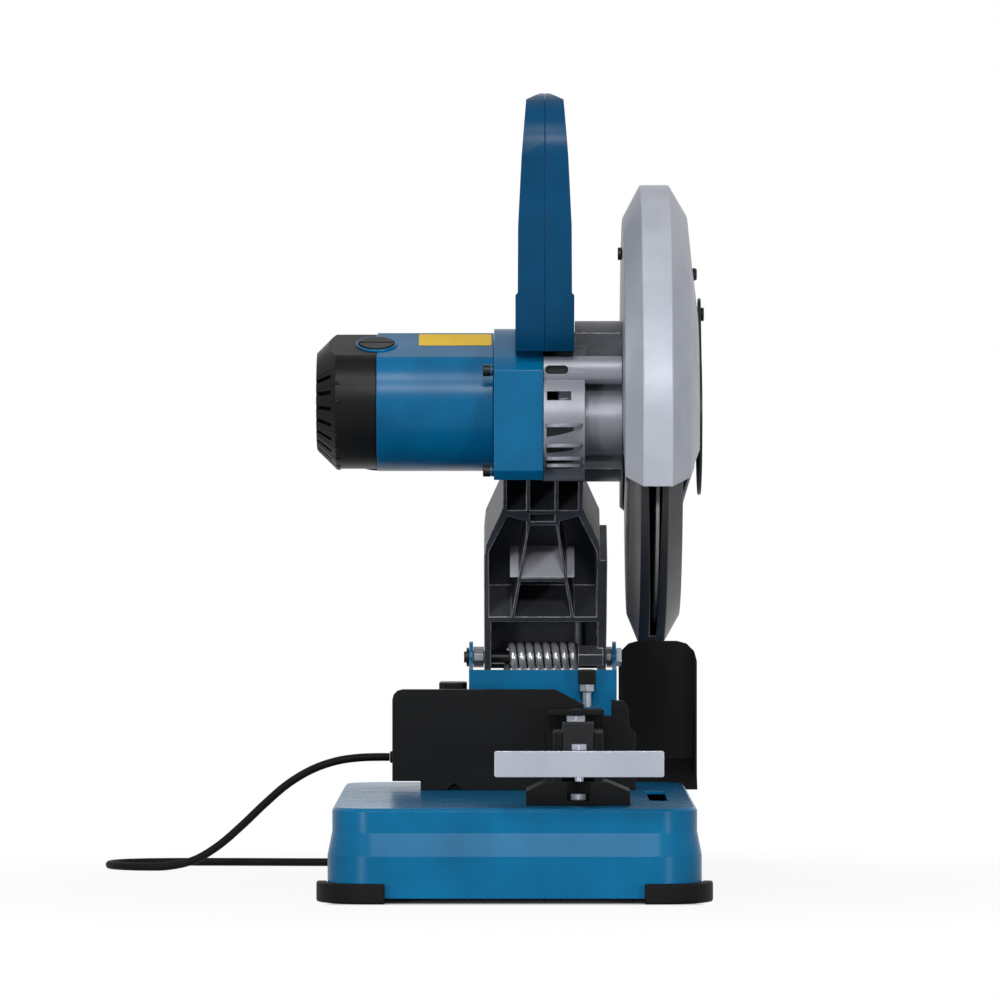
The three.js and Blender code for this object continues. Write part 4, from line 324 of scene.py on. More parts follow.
# Zinc plating gone dull where the hinge pin's bushings carry grease and dust.
DULL_ZINC = Finish(
    "dull_zinc_plated_steel", "8A8D93", "6F7277", "B4B7BC", Relief.DRAWN,
    roughness=0.42, grain=0.8, depth=0.02, highlight_and_scuffing=0.5, sheen=0.5, metallic=0.6,
)
# The casting's milled face, unpainted and finely lined: a pale lilac grey, partly a painted
# highlight for the light on the rib's top face.
HIGHLIT_MILLED_ALUMINIUM = Finish(
    "milled_aluminium_painted_highlight", "DCDDEA", "CDCEDB", "E6E7F0", Relief.DRAWN,
    roughness=0.38, grain=0.9, depth=0.01, highlight_and_scuffing=0.0, sheen=0.5, metallic=0.1,
)
# Self-adhesive vinyl, plain yellow.
YELLOW_VINYL = Finish(
    "yellow_label_vinyl", "F2C60A", "EABD08", "F7DC55", Relief.ORANGE_PEEL,
    roughness=0.45, grain=2.0, depth=0.01, highlight_and_scuffing=0.0, sheen=0.3, ior=1.46,
)


def grid_faces(rows: int, columns: int, wrap_rows: bool, wrap_columns: bool) -> np.ndarray:
    """The quads of a grid of points, listed row by row.

    Args:
        rows: Number of rows of points.
        columns: Number of points in a row.
        wrap_rows: Whether the last row joins the first.
        wrap_columns: Whether the last column joins the first.

    Returns:
        Four point numbers for each quad.
    """
    i, j = np.meshgrid(
        np.arange(rows if wrap_rows else rows - 1),
        np.arange(columns if wrap_columns else columns - 1),
        indexing="ij",
    )
    i, j = i.ravel(), j.ravel()
    next_i, next_j = (i + 1) % rows, (j + 1) % columns
    near, far = i * columns, next_i * columns
    return np.stack([near + j, near + next_j, far + next_j, far + j], axis=1)


def capped(rows: np.ndarray) -> Shape:
    """A grid of points closed round its columns, with its first and last rows as end faces.

    Args:
        rows: Points by row and by place in the row.

    Returns:
        The points and the faces.
    """
    count, sides = rows.shape[:2]
    faces = list(grid_faces(count, sides, False, True))
    faces += [list(range(sides))[::-1], list(range((count - 1) * sides, count * sides))]
    return rows.reshape(-1, 3), faces


def round_x(
    x: np.ndarray, middle: tuple[float, float], radius: np.ndarray, angle: np.ndarray
) -> np.ndarray:
    """Points round an axis along X: each at (x, Y + radius * cos(angle), Z + radius * sin(angle)).

    Args:
        x: Places along the axis.
        middle: The axis's Y and Z.
        radius: Distances from the axis.
        angle: Angles from +Y towards +Z.

    Returns:
        The points, for all of these at once.
    """
    y, z = middle
    parts = np.broadcast_arrays(x, y + radius * np.cos(angle), z + radius * np.sin(angle))
    return np.stack(parts, axis=-1)


def round_edges(work: BMesh, radius: float, over: float) -> None:
    """Bevels the edges whose two faces meet at more than an angle.

    Args:
        work: The mesh.
        radius: How far an edge is rounded off, in millimetres.
        over: The angle, in degrees.
    """
    angle = math.radians(over)
    sharp = [e for e in work.edges if e.is_manifold and e.calc_face_angle() > angle]
    bmesh.ops.bevel(
        work, geom=sharp, offset=radius * MM, offset_type="OFFSET", segments=2, profile=0.5,
        affect="EDGES", clamp_overlap=True,
    )


def unit(vector: np.ndarray) -> np.ndarray:
    """Vectors of length one in the same directions."""
    return vector / np.linalg.norm(vector, axis=-1, keepdims=True)


@dataclass
class PackedFrame:
    """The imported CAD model, and what the record says of each node."""

    loaded: dict
    body_of: dict[str, str] = field(default_factory=dict)
    slot_of: dict[str, str] = field(default_factory=dict)

    def __post_init__(self) -> None:
        """Turns the record's lists into look-up tables."""
        record = self.loaded["record"]
        for body, nodes in record["behaviour"]["bodies"].items():
            self.body_of.update(dict.fromkeys(nodes, body))
        self.slot_of = {row["node"]: row["material_slot"] for row in record["subparts"]}

    def soften(
        self, node: str, finish: Finish, radius: float, creases: tuple[float, float] | None = None
    ) -> Object:
        """Stands a merged copy of a CAD node, with rounded edges, in the node's place.

        Args:
            node: The CAD node.
            finish: The node's finish.
            radius: How far an edge is rounded off, in millimetres.
            creases: Heights between which a level edge of a few degrees stays sharp, or none.

        Returns:
            The piece that replaces the node.
        """
        work = bmesh.new()
        work.from_mesh(self.loaded["nodes"][node].data)
        bmesh.ops.remove_doubles(work, verts=work.verts, dist=0.004 * MM)
        flat = math.radians(FLAT_UNDER)
        bmesh.ops.dissolve_limit(work, angle_limit=flat, verts=work.verts, edges=work.edges)
        round_edges(work, radius, CAD_EDGE_OVER)
        work.edges.index_update()
        kept = []
        if creases:
            low, high = creases
            kept = [
                e.index
                for e in work.edges
                if e.is_manifold
                and abs(e.verts[0].co.z - e.verts[1].co.z) < LEVEL_WITHIN * MM
                and low * MM < e.verts[0].co.z < high * MM
                and e.calc_face_angle() > math.radians(CREASE_OVER)
            ]
        mesh = bpy.data.meshes.new(f"{node}_surface")
        work.to_mesh(mesh)
        work.free()
        piece = place_mesh(f"{node}_finished", mesh, finish)
        for crease in kept:
            mesh.edges[crease].use_edge_sharp = True
        self.attach(piece, self.body_of[node], self.slot_of[node])
        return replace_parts(piece, node)

    def attach(self, piece: Object, body: str, slot: str) -> None:
        """Makes a piece ride on a body.

        Args:
            piece: The finished piece.
            body: The CAD body.
            slot: The record's material slot; not used.
        """
        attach(piece, body)
        log.info("%s rides on %s", piece.name, body)


def place_mesh(name: str, mesh: Mesh, finish: Finish) -> Object:
    """Puts a finished mesh in the scene, smooth but for its sharp edges.

    Args:
        name: The object's name.
        mesh: The mesh, in metres and in its final place.
        finish: The finish of the whole piece.

    Returns:
        The object, at the origin.
    """
    mesh.polygons.foreach_set("use_smooth", np.ones(len(mesh.polygons), bool))
    mesh.set_sharp_from_angle(angle=math.radians(SHARP_OVER))
    mesh.materials.append(finish.material())
    piece = bpy.data.objects.new(name, mesh)
    bpy.context.scene.collection.objects.link(piece)
    even = piece.modifiers.new("even_normals", "WEIGHTED_NORMAL")
    even.keep_sharp = True
    return piece


def surface(name: str, shape: Shape, finish: Finish, rounding: float = 0.0) -> Object:
    """Makes a closed surface from a shape in millimetres.

    Args:
        name: The object's name.
        shape: Its points and faces.
        finish: The finish of the whole piece.
        rounding: How far its sharper edges are rounded off, in millimetres.

    Returns:
        The object, with its faces pointing outwards.
    """
    points, faces = shape
    mesh = bpy.data.meshes.new(f"{name}_surface")
    mesh.from_pydata((points * MM).tolist(), [], [list(map(int, face)) for face in faces])
    work = bmesh.new()
    work.from_mesh(mesh)
    bmesh.ops.remove_doubles(work, verts=work.verts, dist=0.001 * MM)
    bmesh.ops.recalc_face_normals(work, faces=work.faces)
    if rounding:
        round_edges(work, rounding, NEW_EDGE_OVER)
    work.to_mesh(mesh)
    work.free()
    return place_mesh(name, mesh, finish)


def frame_of(axis: np.ndarray) -> tuple[np.ndarray, np.ndarray, np.ndarray]:
    """A direction and two more square to it and to each other.

    Args:
        axis: The direction.

    Returns:
        Three directions of length one, the given one first.
    """
    along = unit(np.array(axis, float))
    helper = Z_AXIS if abs(along[2]) < 0.9 else X_AXIS
    across = unit(np.cross(helper, along))
    return along, across, np.cross(along, across)


def turned(
    profile: Sequence, axis: np.ndarray, centre: Sequence, sides: int, closed: bool = False
) -> Shape:
    """A turned shape: each pair of the profile, place along the axis and radius, goes round it.

    Args:
        profile: Pairs of distance along the axis and radius.
        axis: Direction of the axis.
        centre: Where distance zero lies.
        sides: Points in one round.
        closed: Whether the profile is a loop, as for a ring.

    Returns:
        The points and the faces.
    """
    along, across, up = frame_of(axis)
    pairs = np.array(profile, float)
    angle = np.linspace(0, 2 * math.pi, sides, endpoint=False)
    spoke = np.cos(angle)[:, None] * across + np.sin(angle)[:, None] * up
    points = np.array(centre) + pairs[:, None, :1] * along + pairs[:, None, 1:] * spoke
    if not closed:
        return capped(points)
    return points.reshape(-1, 3), list(grid_faces(len(pairs), sides, True, True))


def tube(path: np.ndarray, radius: float, sides: int, reference: np.ndarray) -> Shape:
    """A round bar along a path: each point's circle is square to the path there.

    The circle's first spoke is the reference direction with its part along the path taken off.

    Args:
        path: The centre points.
        radius: The bar's radius.
        sides: Points in one circle.
        reference: A direction that the path never takes.

    Returns:
        The points and the faces.
    """
    along = unit(np.gradient(path, axis=0))
    across = unit(reference - (along @ reference)[:, None] * along)
    up = np.cross(along, across)
    angle = np.linspace(0, 2 * math.pi, sides, endpoint=False)
    cos, sin = np.cos(angle)[None, :, None], np.sin(angle)[None, :, None]
    circle = cos * across[:, None, :] + sin * up[:, None, :]
    return capped(path[:, None, :] + radius * circle)


def prism(
    outline: np.ndarray, origin: np.ndarray, u: np.ndarray, v: np.ndarray, depth: float
) -> Shape:
    """A flat outline in the directions u and v, given a depth along their normal.

    Args:
        outline: Pairs of distances along u and v.
        origin: Where both distances are zero.
        u: First direction.
        v: Second direction.
        depth: Thickness along the normal.

    Returns:
        The points and the faces.
    """
    low = origin + outline[:, :1] * u + outline[:, 1:] * v
    return capped(np.stack([low, low + depth * np.cross(u, v)]))


def rounded_box(width: float, height: float, radius: float, steps: int = 6) -> np.ndarray:
    """The outline of a rectangle about its middle, each corner a quarter circle.

    Args:
        width: Its first side.
        height: Its second side.
        radius: The corners' radius.
        steps: Steps in a quarter circle.

    Returns:
        Pairs of distances from the middle, anticlockwise.
    """
    angle = np.linspace(0, math.pi / 2, steps + 1)
    quarter = np.stack([np.cos(angle), np.sin(angle)], axis=1) * radius
    outline = []
    for turn in range(4):
        c, s = round(math.cos(turn * math.pi / 2)), round(math.sin(turn * math.pi / 2))
        sign = np.array([c - s, s + c], float)
        centre = sign * (np.array([width, height]) / 2 - radius)
        outline.append(centre + quarter @ np.array([[c, s], [-s, c]]))
    return np.concatenate(outline)


def joined(*shapes: Shape) -> Shape:
    """Several shapes as one list of points and one of faces.

    Args:
        shapes: The shapes, in order.

    Returns:
        The points and the faces.
    """
    points, faces, start = [], [], 0
    for shape_points, shape_faces in shapes:
        points.append(shape_points)
        faces += [[number + start for number in face] for face in shape_faces]
        start += len(shape_points)
    return np.concatenate(points), faces


def smooth_path(places: np.ndarray, spacing: float) -> np.ndarray:
    """A smooth line through places, as cubic pieces whose slopes are weighed by distance.

    Args:
        places: The places that the line goes through.
        spacing: Distance between the points of the line.

    Returns:
        Points along the line.
    """
    step = np.sqrt(np.linalg.norm(np.diff(places, axis=0), axis=1))
    at = np.concatenate([[0], np.cumsum(step)])
    slope = np.gradient(places, at, axis=0)
    total = np.linalg.norm(np.diff(places, axis=0), axis=1).sum()
    fine = np.linspace(0, at[-1], int(total / spacing) + 1)
    piece = np.clip(np.searchsorted(at, fine, side="right") - 1, 0, len(step) - 1)
    width = step[piece][:, None]
    t = ((fine - at[piece]) / step[piece])[:, None]
    return (
        (2 * t**3 - 3 * t**2 + 1) * places[piece]
        + (t**3 - 2 * t**2 + t) * width * slope[piece]
        + (3 * t**2 - 2 * t**3) * places[piece + 1]
        + (t**3 - t**2) * width * slope[piece + 1]
    )


@dataclass
class Studio:
    """The camera at the photograph's viewing angle, soft lamps and a pale floor."""

    distance: float = 6.0  # from the camera to the frame's origin, m
    eye_height: float = 0.35825  # m
    lens: float = 248.4
    sensor: float = 36.0
    shift_x: float = -0.0147  # in picture widths, as is the next
    shift_y: float = -0.0264
    far_clip: float = 100.0  # m
    floor_half: float = 30.0  # m
    sky: float = 0.26  # the sky's strength as light
    floor_near: float = 0.9  # how white the floor is to the camera beside the saw
    floor_fade: tuple[float, float] = (0.25, 0.7)  # metres over which the floor turns wholly white
    floor_as_light: str = "9C9C9E"  # its sRGB colour to all rays but the camera's
    floor_to_camera: str = "F4F4F4"
    floor_level: float = -0.2  # just under the feet, mm
    base_half: tuple[float, float] = (0.148, 0.255)  # half width and length of the shaded floor, m
    aim: Place = (0.0, 0.0, 0.3)  # what the lamps face, m
    lamps: tuple[tuple[str, Place, float, float], ...] = (  # name, place in m, side in m, watts
        ("key_softbox", (-0.4, -2.6, 2.6), 0.5, 34.0),
        ("front_softbox", (0.12, -4.5, 2.2), 0.5, 66.0),
        ("low_left_softbox", (-2.1, -4.0, 0.3), 0.6, 42.0),
        ("low_right_softbox", (2.3, -3.9, 0.3), 0.6, 38.0),
    )

    def build(self) -> None:
        """Makes everything round the saw."""
        self.add_camera()
        self.add_world()
        self.add_floor()
        for lamp in self.lamps:
            self.add_lamp(*lamp)
        bpy.context.scene.view_settings.view_transform = "Standard"

    def add_camera(self) -> None:
        """Puts the camera in front of the saw, looking level along +Y."""
        camera = bpy.data.cameras.new("photo_camera")
        camera.lens = self.lens
        camera.sensor_width = self.sensor
        camera.shift_x = self.shift_x
        camera.shift_y = self.shift_y
        camera.clip_end = self.far_clip
        holder = bpy.data.objects.new("photo_camera", camera)
        holder.location = (0.0, -self.distance, self.eye_height)
        holder.rotation_euler = (math.radians(90), 0.0, 0.0)
        bpy.context.scene.collection.objects.link(holder)
        bpy.context.scene.camera = holder

    def seen_rays(self, tree: NodeTree, ray: Node) -> Node:
        """Adds nodes that give one for camera, glossy and transmission rays, and zero for the rest.

        Args:
            tree: The node tree that takes the nodes.
            ray: The Light Path node.

        Returns:
            The node whose first output is that value.
        """
        add, clamped = {"operation": "ADD"}, {"operation": "ADD", "use_clamp": True}
        rays = {0: (ray, "Is Camera Ray"), 1: (ray, "Is Glossy Ray")}
        two = add_node(tree, "Math", add, rays)
        return add_node(tree, "Math", clamped, {0: (two, 0), 1: (ray, "Is Transmission Ray")})

    def add_world(self) -> None:
        """A sky that is white to the camera and in reflections, and dimmer as light."""
        world = bpy.data.worlds.new("white_studio")
        bpy.context.scene.world = world
        world.use_nodes = True
        tree = world.node_tree
        tree.nodes.clear()
        ray = add_node(tree, "LightPath", {}, {})
        seen = self.seen_rays(tree, ray)
        levels = {"To Min": self.sky, "To Max": 1.0}
        strength = add_node(tree, "MapRange", levels, {"Value": (seen, 0)})
        sky = add_node(tree, "Background", {"Color": WHITE}, {"Strength": (strength, 0)})
        add_node(tree, "OutputWorld", {}, {"Surface": (sky, "Background")})

    def outside_base(self, tree: NodeTree, place: Node) -> Node:
        """Adds nodes that give one, but zero under the hollow base, whose slots look down on shade.

        The value is the larger of |X| / half width and |Y| / half length, ramped up from one.

        Args:
            tree: The node tree that takes the nodes.
            place: The Texture Coordinate node.

        Returns:
            The node whose first output is that value.
        """
        half_width, half_length = self.base_half
        shares = {"operation": "MULTIPLY", 1: (1 / half_width, 1 / half_length, 0.0)}
        scaled = add_node(tree, "VectorMath", shares, {0: (place, "Object")})
        sizes = add_node(tree, "VectorMath", {"operation": "ABSOLUTE"}, {0: (scaled, 0)})
        parts = add_node(tree, "SeparateXYZ", {}, {0: (sizes, 0)})
        sides = {0: (parts, 0), 1: (parts, 1)}
        larger = add_node(tree, "Math", {"operation": "MAXIMUM"}, sides)
        ramp = {"From Min": 1.0, "From Max": 1.08, "interpolation_type": "SMOOTHSTEP"}
        return add_node(tree, "MapRange", ramp, {"Value": (larger, 0)})

    def add_floor(self) -> None:
        """A pale floor that keeps the saw's shadow and meets the white background."""
        h = self.floor_half
        mesh = bpy.data.meshes.new("floor")
        level = self.floor_level * MM
        square = [(-h, -h, level), (h, -h, level), (h, h, level), (-h, h, level)]
        mesh.from_pydata(square, [], [(0, 1, 2, 3)])
        floor = bpy.data.objects.new("floor", mesh)
        bpy.context.scene.collection.objects.link(floor)
        material = bpy.data.materials.new("pale_studio_floor")
        material.use_nodes = True
        tree = material.node_tree
        tree.nodes.clear()
        ray = add_node(tree, "LightPath", {}, {})
        place = add_node(tree, "TexCoord", {}, {})
        length = {"operation": "LENGTH"}
        away = add_node(tree, "VectorMath", length, {0: (place, "Object")})
        near, far = self.floor_fade
        fade = {"interpolation_type": "SMOOTHSTEP", "From Min": near, "From Max": far}
        fade["To Min"] = self.floor_near
        white_share = add_node(tree, "MapRange", fade, {"Value": (away, "Value")})
        seen = self.seen_rays(tree, ray)
        clear = self.outside_base(tree, place)
        times = {"operation": "MULTIPLY"}
        whitened = add_node(tree, "Math", times, {0: (white_share, 0), 1: (clear, 0)})
        share = add_node(tree, "Math", times, {0: (whitened, 0), 1: (seen, 0)})
        as_light, to_camera = linear(self.floor_as_light), linear(self.floor_to_camera)
        tints = {"data_type": "RGBA", 6: as_light, 7: to_camera}
        tint = add_node(tree, "Mix", tints, {0: (ray, "Is Camera Ray")})
        pale = add_node(tree, "BsdfDiffuse", {}, {"Color": (tint, 2)})
        white = add_node(tree, "Emission", {"Color": WHITE}, {})
        both = {0: (share, 0), 1: (pale, 0), 2: (white, 0)}
        mixed = add_node(tree, "MixShader", {}, both)
        add_node(tree, "OutputMaterial", {}, {"Surface": (mixed, 0)})
        mesh.materials.append(material)

    def add_lamp(self, name: str, place: Place, size: float, power: float) -> None:
        """Adds a square soft lamp that faces the saw.

        Args:
            name: The lamp's name.
            place: Where it hangs, in metres.
            size: Its side, in metres.
            power: Its power, in watts.
        """
        lamp = bpy.data.lights.new(name, "AREA")
        lamp.size = size
        lamp.energy = power
        holder = bpy.data.objects.new(name, lamp)
        holder.location = place
        holder.rotation_mode = "QUATERNION"
        facing = Vector(self.aim) - Vector(place)
        holder.rotation_quaternion = facing.to_track_quat("-Z", "Y")
        bpy.context.scene.collection.objects.link(holder)


@dataclass
class SubAssembly:
    """A group of pieces: CAD nodes with their finishes and edge radii, and details of its own."""

    frame: PackedFrame
    nodes: dict[str, tuple] = field(default_factory=dict)

    def build(self) -> None:
        """Dresses the CAD nodes, then adds what CAD leaves to this scene."""
        for node, dress in self.nodes.items():
            self.frame.soften(node, *dress)
        self.add_details()

    def add_details(self) -> None:
        """Adds nothing, unless a sub-assembly has details."""

    def add(
        self, name: str, shape: Shape, finish: Finish, body: str, slot: str, rounding: float = 0.0
    ) -> Object:
        """Adds one new piece.

        Args:
            name: The piece's name.
            shape: Its points and faces.
            finish: Its finish.
            body: The CAD body that it rides on.
            slot: The record's material slot.
            rounding: How far its edges are rounded off.

        Returns:
            The new object.
        """
        piece = surface(name, shape, finish, rounding)
        self.frame.attach(piece, body, slot)
        return piece


@dataclass
class SupplyCord(SubAssembly):
    """The supply cord: down from its relief, round on the floor, into a tied coil at the back."""

    radius: float = 3.6
    coil_x: float = -45.0  # the coil's middle, as is the next
    coil_y: float = 350.0
    turns: int = 6
    middle: float = 41.0  # the coil's mean radius
    spacing: float = 8.1  # from one turn to the next
    path_step: float = 4.0
    layer: float = 8.2  # from the lower layer of turns to the upper one
    climb: float = 0.5  # the part of a turn in which it climbs a layer
    turn_steps: int = 32
    lead: float = 44.0  # from the coil's middle, along X, to the plug
    lead_in: float = 19.44  # from the coil's middle, along X, to the end of the free run
    lowest: float = 3.75  # height of the cord's middle on the floor
    tie_width: float = 13.0
    tie_wall: float = 1.1
    tie_corner: float = 5.0
    tie_lift: float = 0.1  # from the floor
    tie_size: tuple[float, float] = (27.6, 16.2)  # its outside, across the cord and high
    route: tuple[Place, ...] = (  # the free run, from the strain relief
        (-112.6, 215, 103), (-122, 215, 103), (-140, 215, 102.4), (-160, 215, 99.5),
        (-182, 215, 92), (-204, 215, 79), (-225, 215, 61), (-246, 215, 41), (-267, 215, 23),
        (-289, 215.5, 10), (-312, 217, 4.6), (-334, 221, 3.8), (-354, 231, 3.8),
        (-366, 248, 3.8), (-366, 268, 3.8), (-355, 285, 3.8), (-336, 295, 3.8),
        (-310, 299.5, 3.8), (-275, 300, 3.8), (-235, 298, 3.8), (-190, 295, 3.8),
        (-145, 294, 3.8), (-105, 295.8, 3.8),
    )

    def coil(self) -> np.ndarray:
        """The coil: turns that spiral in on the floor, climb a layer, and spiral out again.

        Returns:
            Points along its centre, from the free run to the plug.
        """
        out = self.middle + self.spacing * self.turns / 4
        turn = np.linspace(0, self.turns, self.turns * self.turn_steps + 1)
        radius = out - self.spacing * np.minimum(turn, self.turns - turn)
        angle = 2 * math.pi * turn - math.pi / 2
        share = np.clip((turn - (self.turns - self.climb) / 2) / self.climb, 0, 1)
        climbed = share * share * (3 - 2 * share)
        x = self.coil_x + radius * np.cos(angle)
        y = self.coil_y + radius * np.sin(angle)
        ring = np.stack([x, y, self.lowest + self.layer * climbed], axis=1)
        level = self.lowest + self.layer
        end = np.array([[self.coil_x + self.lead, self.coil_y - out, level]])
        start = np.array([[self.coil_x - self.lead_in, self.coil_y - out, self.lowest]])
        return np.concatenate([start, ring, end])

    def add_details(self) -> None:
        places = np.concatenate([np.array(self.route, float), self.coil()])
        path = smooth_path(places, self.path_step)
        shape = tube(path, self.radius, sides=16, reference=Z_AXIS)
        cord = self.add("supply_cord", shape, BLACK_RUBBER, "base", "rubber")
        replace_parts(cord, "cord", "cord_coil")
        tie = self.add("coil_tie", self.tie(), BLACK_NYLON, "base", "black_plastic", 0.4)

    def tie(self) -> Shape:
        """A hook-and-loop band: a flat loop round the coil's section, as wide as the band.

        Returns:
            The points and the faces.
        """
        (across, high), wall = self.tie_size, self.tie_wall
        outer = rounded_box(across, high, self.tie_corner)
        inner = rounded_box(across - 2 * wall, high - 2 * wall, self.tie_corner - wall)
        points = np.zeros((4, len(outer), 3))
        points[..., ::2] = np.stack([outer, outer, inner, inner])
        points[..., 1] = self.tie_width * np.array([[-0.5], [0.5], [0.5], [-0.5]])
        points += (self.coil_x + self.middle, self.coil_y, high / 2 + self.tie_lift)
        return points.reshape(-1, 3), list(grid_faces(4, len(outer), True, True))


@dataclass
class PivotAssembly(SubAssembly):
    """The pivot bracket, its shaft, the stop screw and the torsion spring."""

    wire: float = 3.2  # the wire's radius
    radius: float = 10.8  # of the curls, to the wire's middle
    left: float = -7.0  # X where the curls start
    right: float = 57.5  # X where they end
    curls: int = 8
    curl_steps: int = 40
    path_step: float = 2.0
    plate_back: float = 183.7  # Y of the rear face of the bracket's plate
    tang_drop: float = 17.5  # how far under the shaft the spring's foot lies
    tang_lift: float = 6.4  # how far the foot runs straight from the plate
    tang_reach: float = 59.7  # how far the other leg runs up the arm
    stop_x: float = 64.5  # the stop screw's axis, as is the next
    stop_y: float = 166.0
    thread_radius: float = 4.15
    thread_depth: float = 0.5
    thread_span: tuple[float, float] = (151.0, 163.2)  # its lowest and highest Z
    thread_pitch: float = 1.25
    cap_side: float = 15.8
    cap_low: float = 170.0  # Z of its lower face
    cap_tall: float = 12.9
    cap_corner: float = 1.2

    def spring_path(self) -> np.ndarray:
        """The wire's centre: a leg to the bracket, the curls round the shaft, a leg up to the arm.

        Returns:
            Points along the wire.
        """
        lean = math.radians(ARM_LEAN)
        pivot_y, pivot_z = PIVOT
        turn = 2 * math.pi * self.curls + lean + math.pi / 2
        share = np.linspace(0, 1, self.curl_steps * self.curls + 1)
        x = self.left + (self.right - self.left) * share
        angle = turn * share - math.pi / 2
        curls = round_x(x, PIVOT, self.radius, angle)
        level = pivot_z - self.tang_drop
        halfway = (self.plate_back + pivot_y) / 2
        foot = [
            [self.left, self.plate_back, level],
            [self.left, self.plate_back + self.tang_lift, level],
            [self.left, halfway, (level + pivot_z - self.radius) / 2],
        ]
        up = np.array([0, -math.sin(lean), math.cos(lean)])
        tang = [curls[-1] + up * self.tang_reach * part for part in (0.3, 0.6, 1.0)]
        return smooth_path(np.concatenate([np.array(foot), curls, np.array(tang)]), self.path_step)

    def add_details(self) -> None:
        """Winds the spring, and threads and caps the stop screw."""
        wire = tube(self.spring_path(), self.wire, sides=18, reference=X_AXIS)
        spring = surface("wound_spring", wire, SPRING_WIRE)
        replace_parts(spring, "torsion_spring")
        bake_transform(spring)
        log.info("%s bends between base and head", spring.name)
        self.add("stop_screw_thread", self.thread(), ZINC_STEEL, "stop", "black_oxide")
        low = np.array([self.stop_x, self.stop_y, self.cap_low])
        outline = rounded_box(self.cap_side, self.cap_side, self.cap_corner)
        cap = prism(outline, low, X_AXIS, Y_AXIS, self.cap_tall)
        self.add("stop_screw_cap", cap, BLACK_NYLON, "stop", "black_plastic", 0.8)

    def thread(self) -> Shape:
        """The stop screw's open thread as rings: the radius rises and falls once a pitch.

        Returns:
            The points and the faces.
        """
        low, high = self.thread_span
        heights = np.linspace(low, high, int((high - low) / self.thread_pitch * 2) + 1)
        root = np.arange(len(heights)) % 2
        profile = np.stack([heights, self.thread_radius - self.thread_depth * root], axis=1)
        return turned(profile, Z_AXIS, (self.stop_x, self.stop_y, 0.0), sides=24)


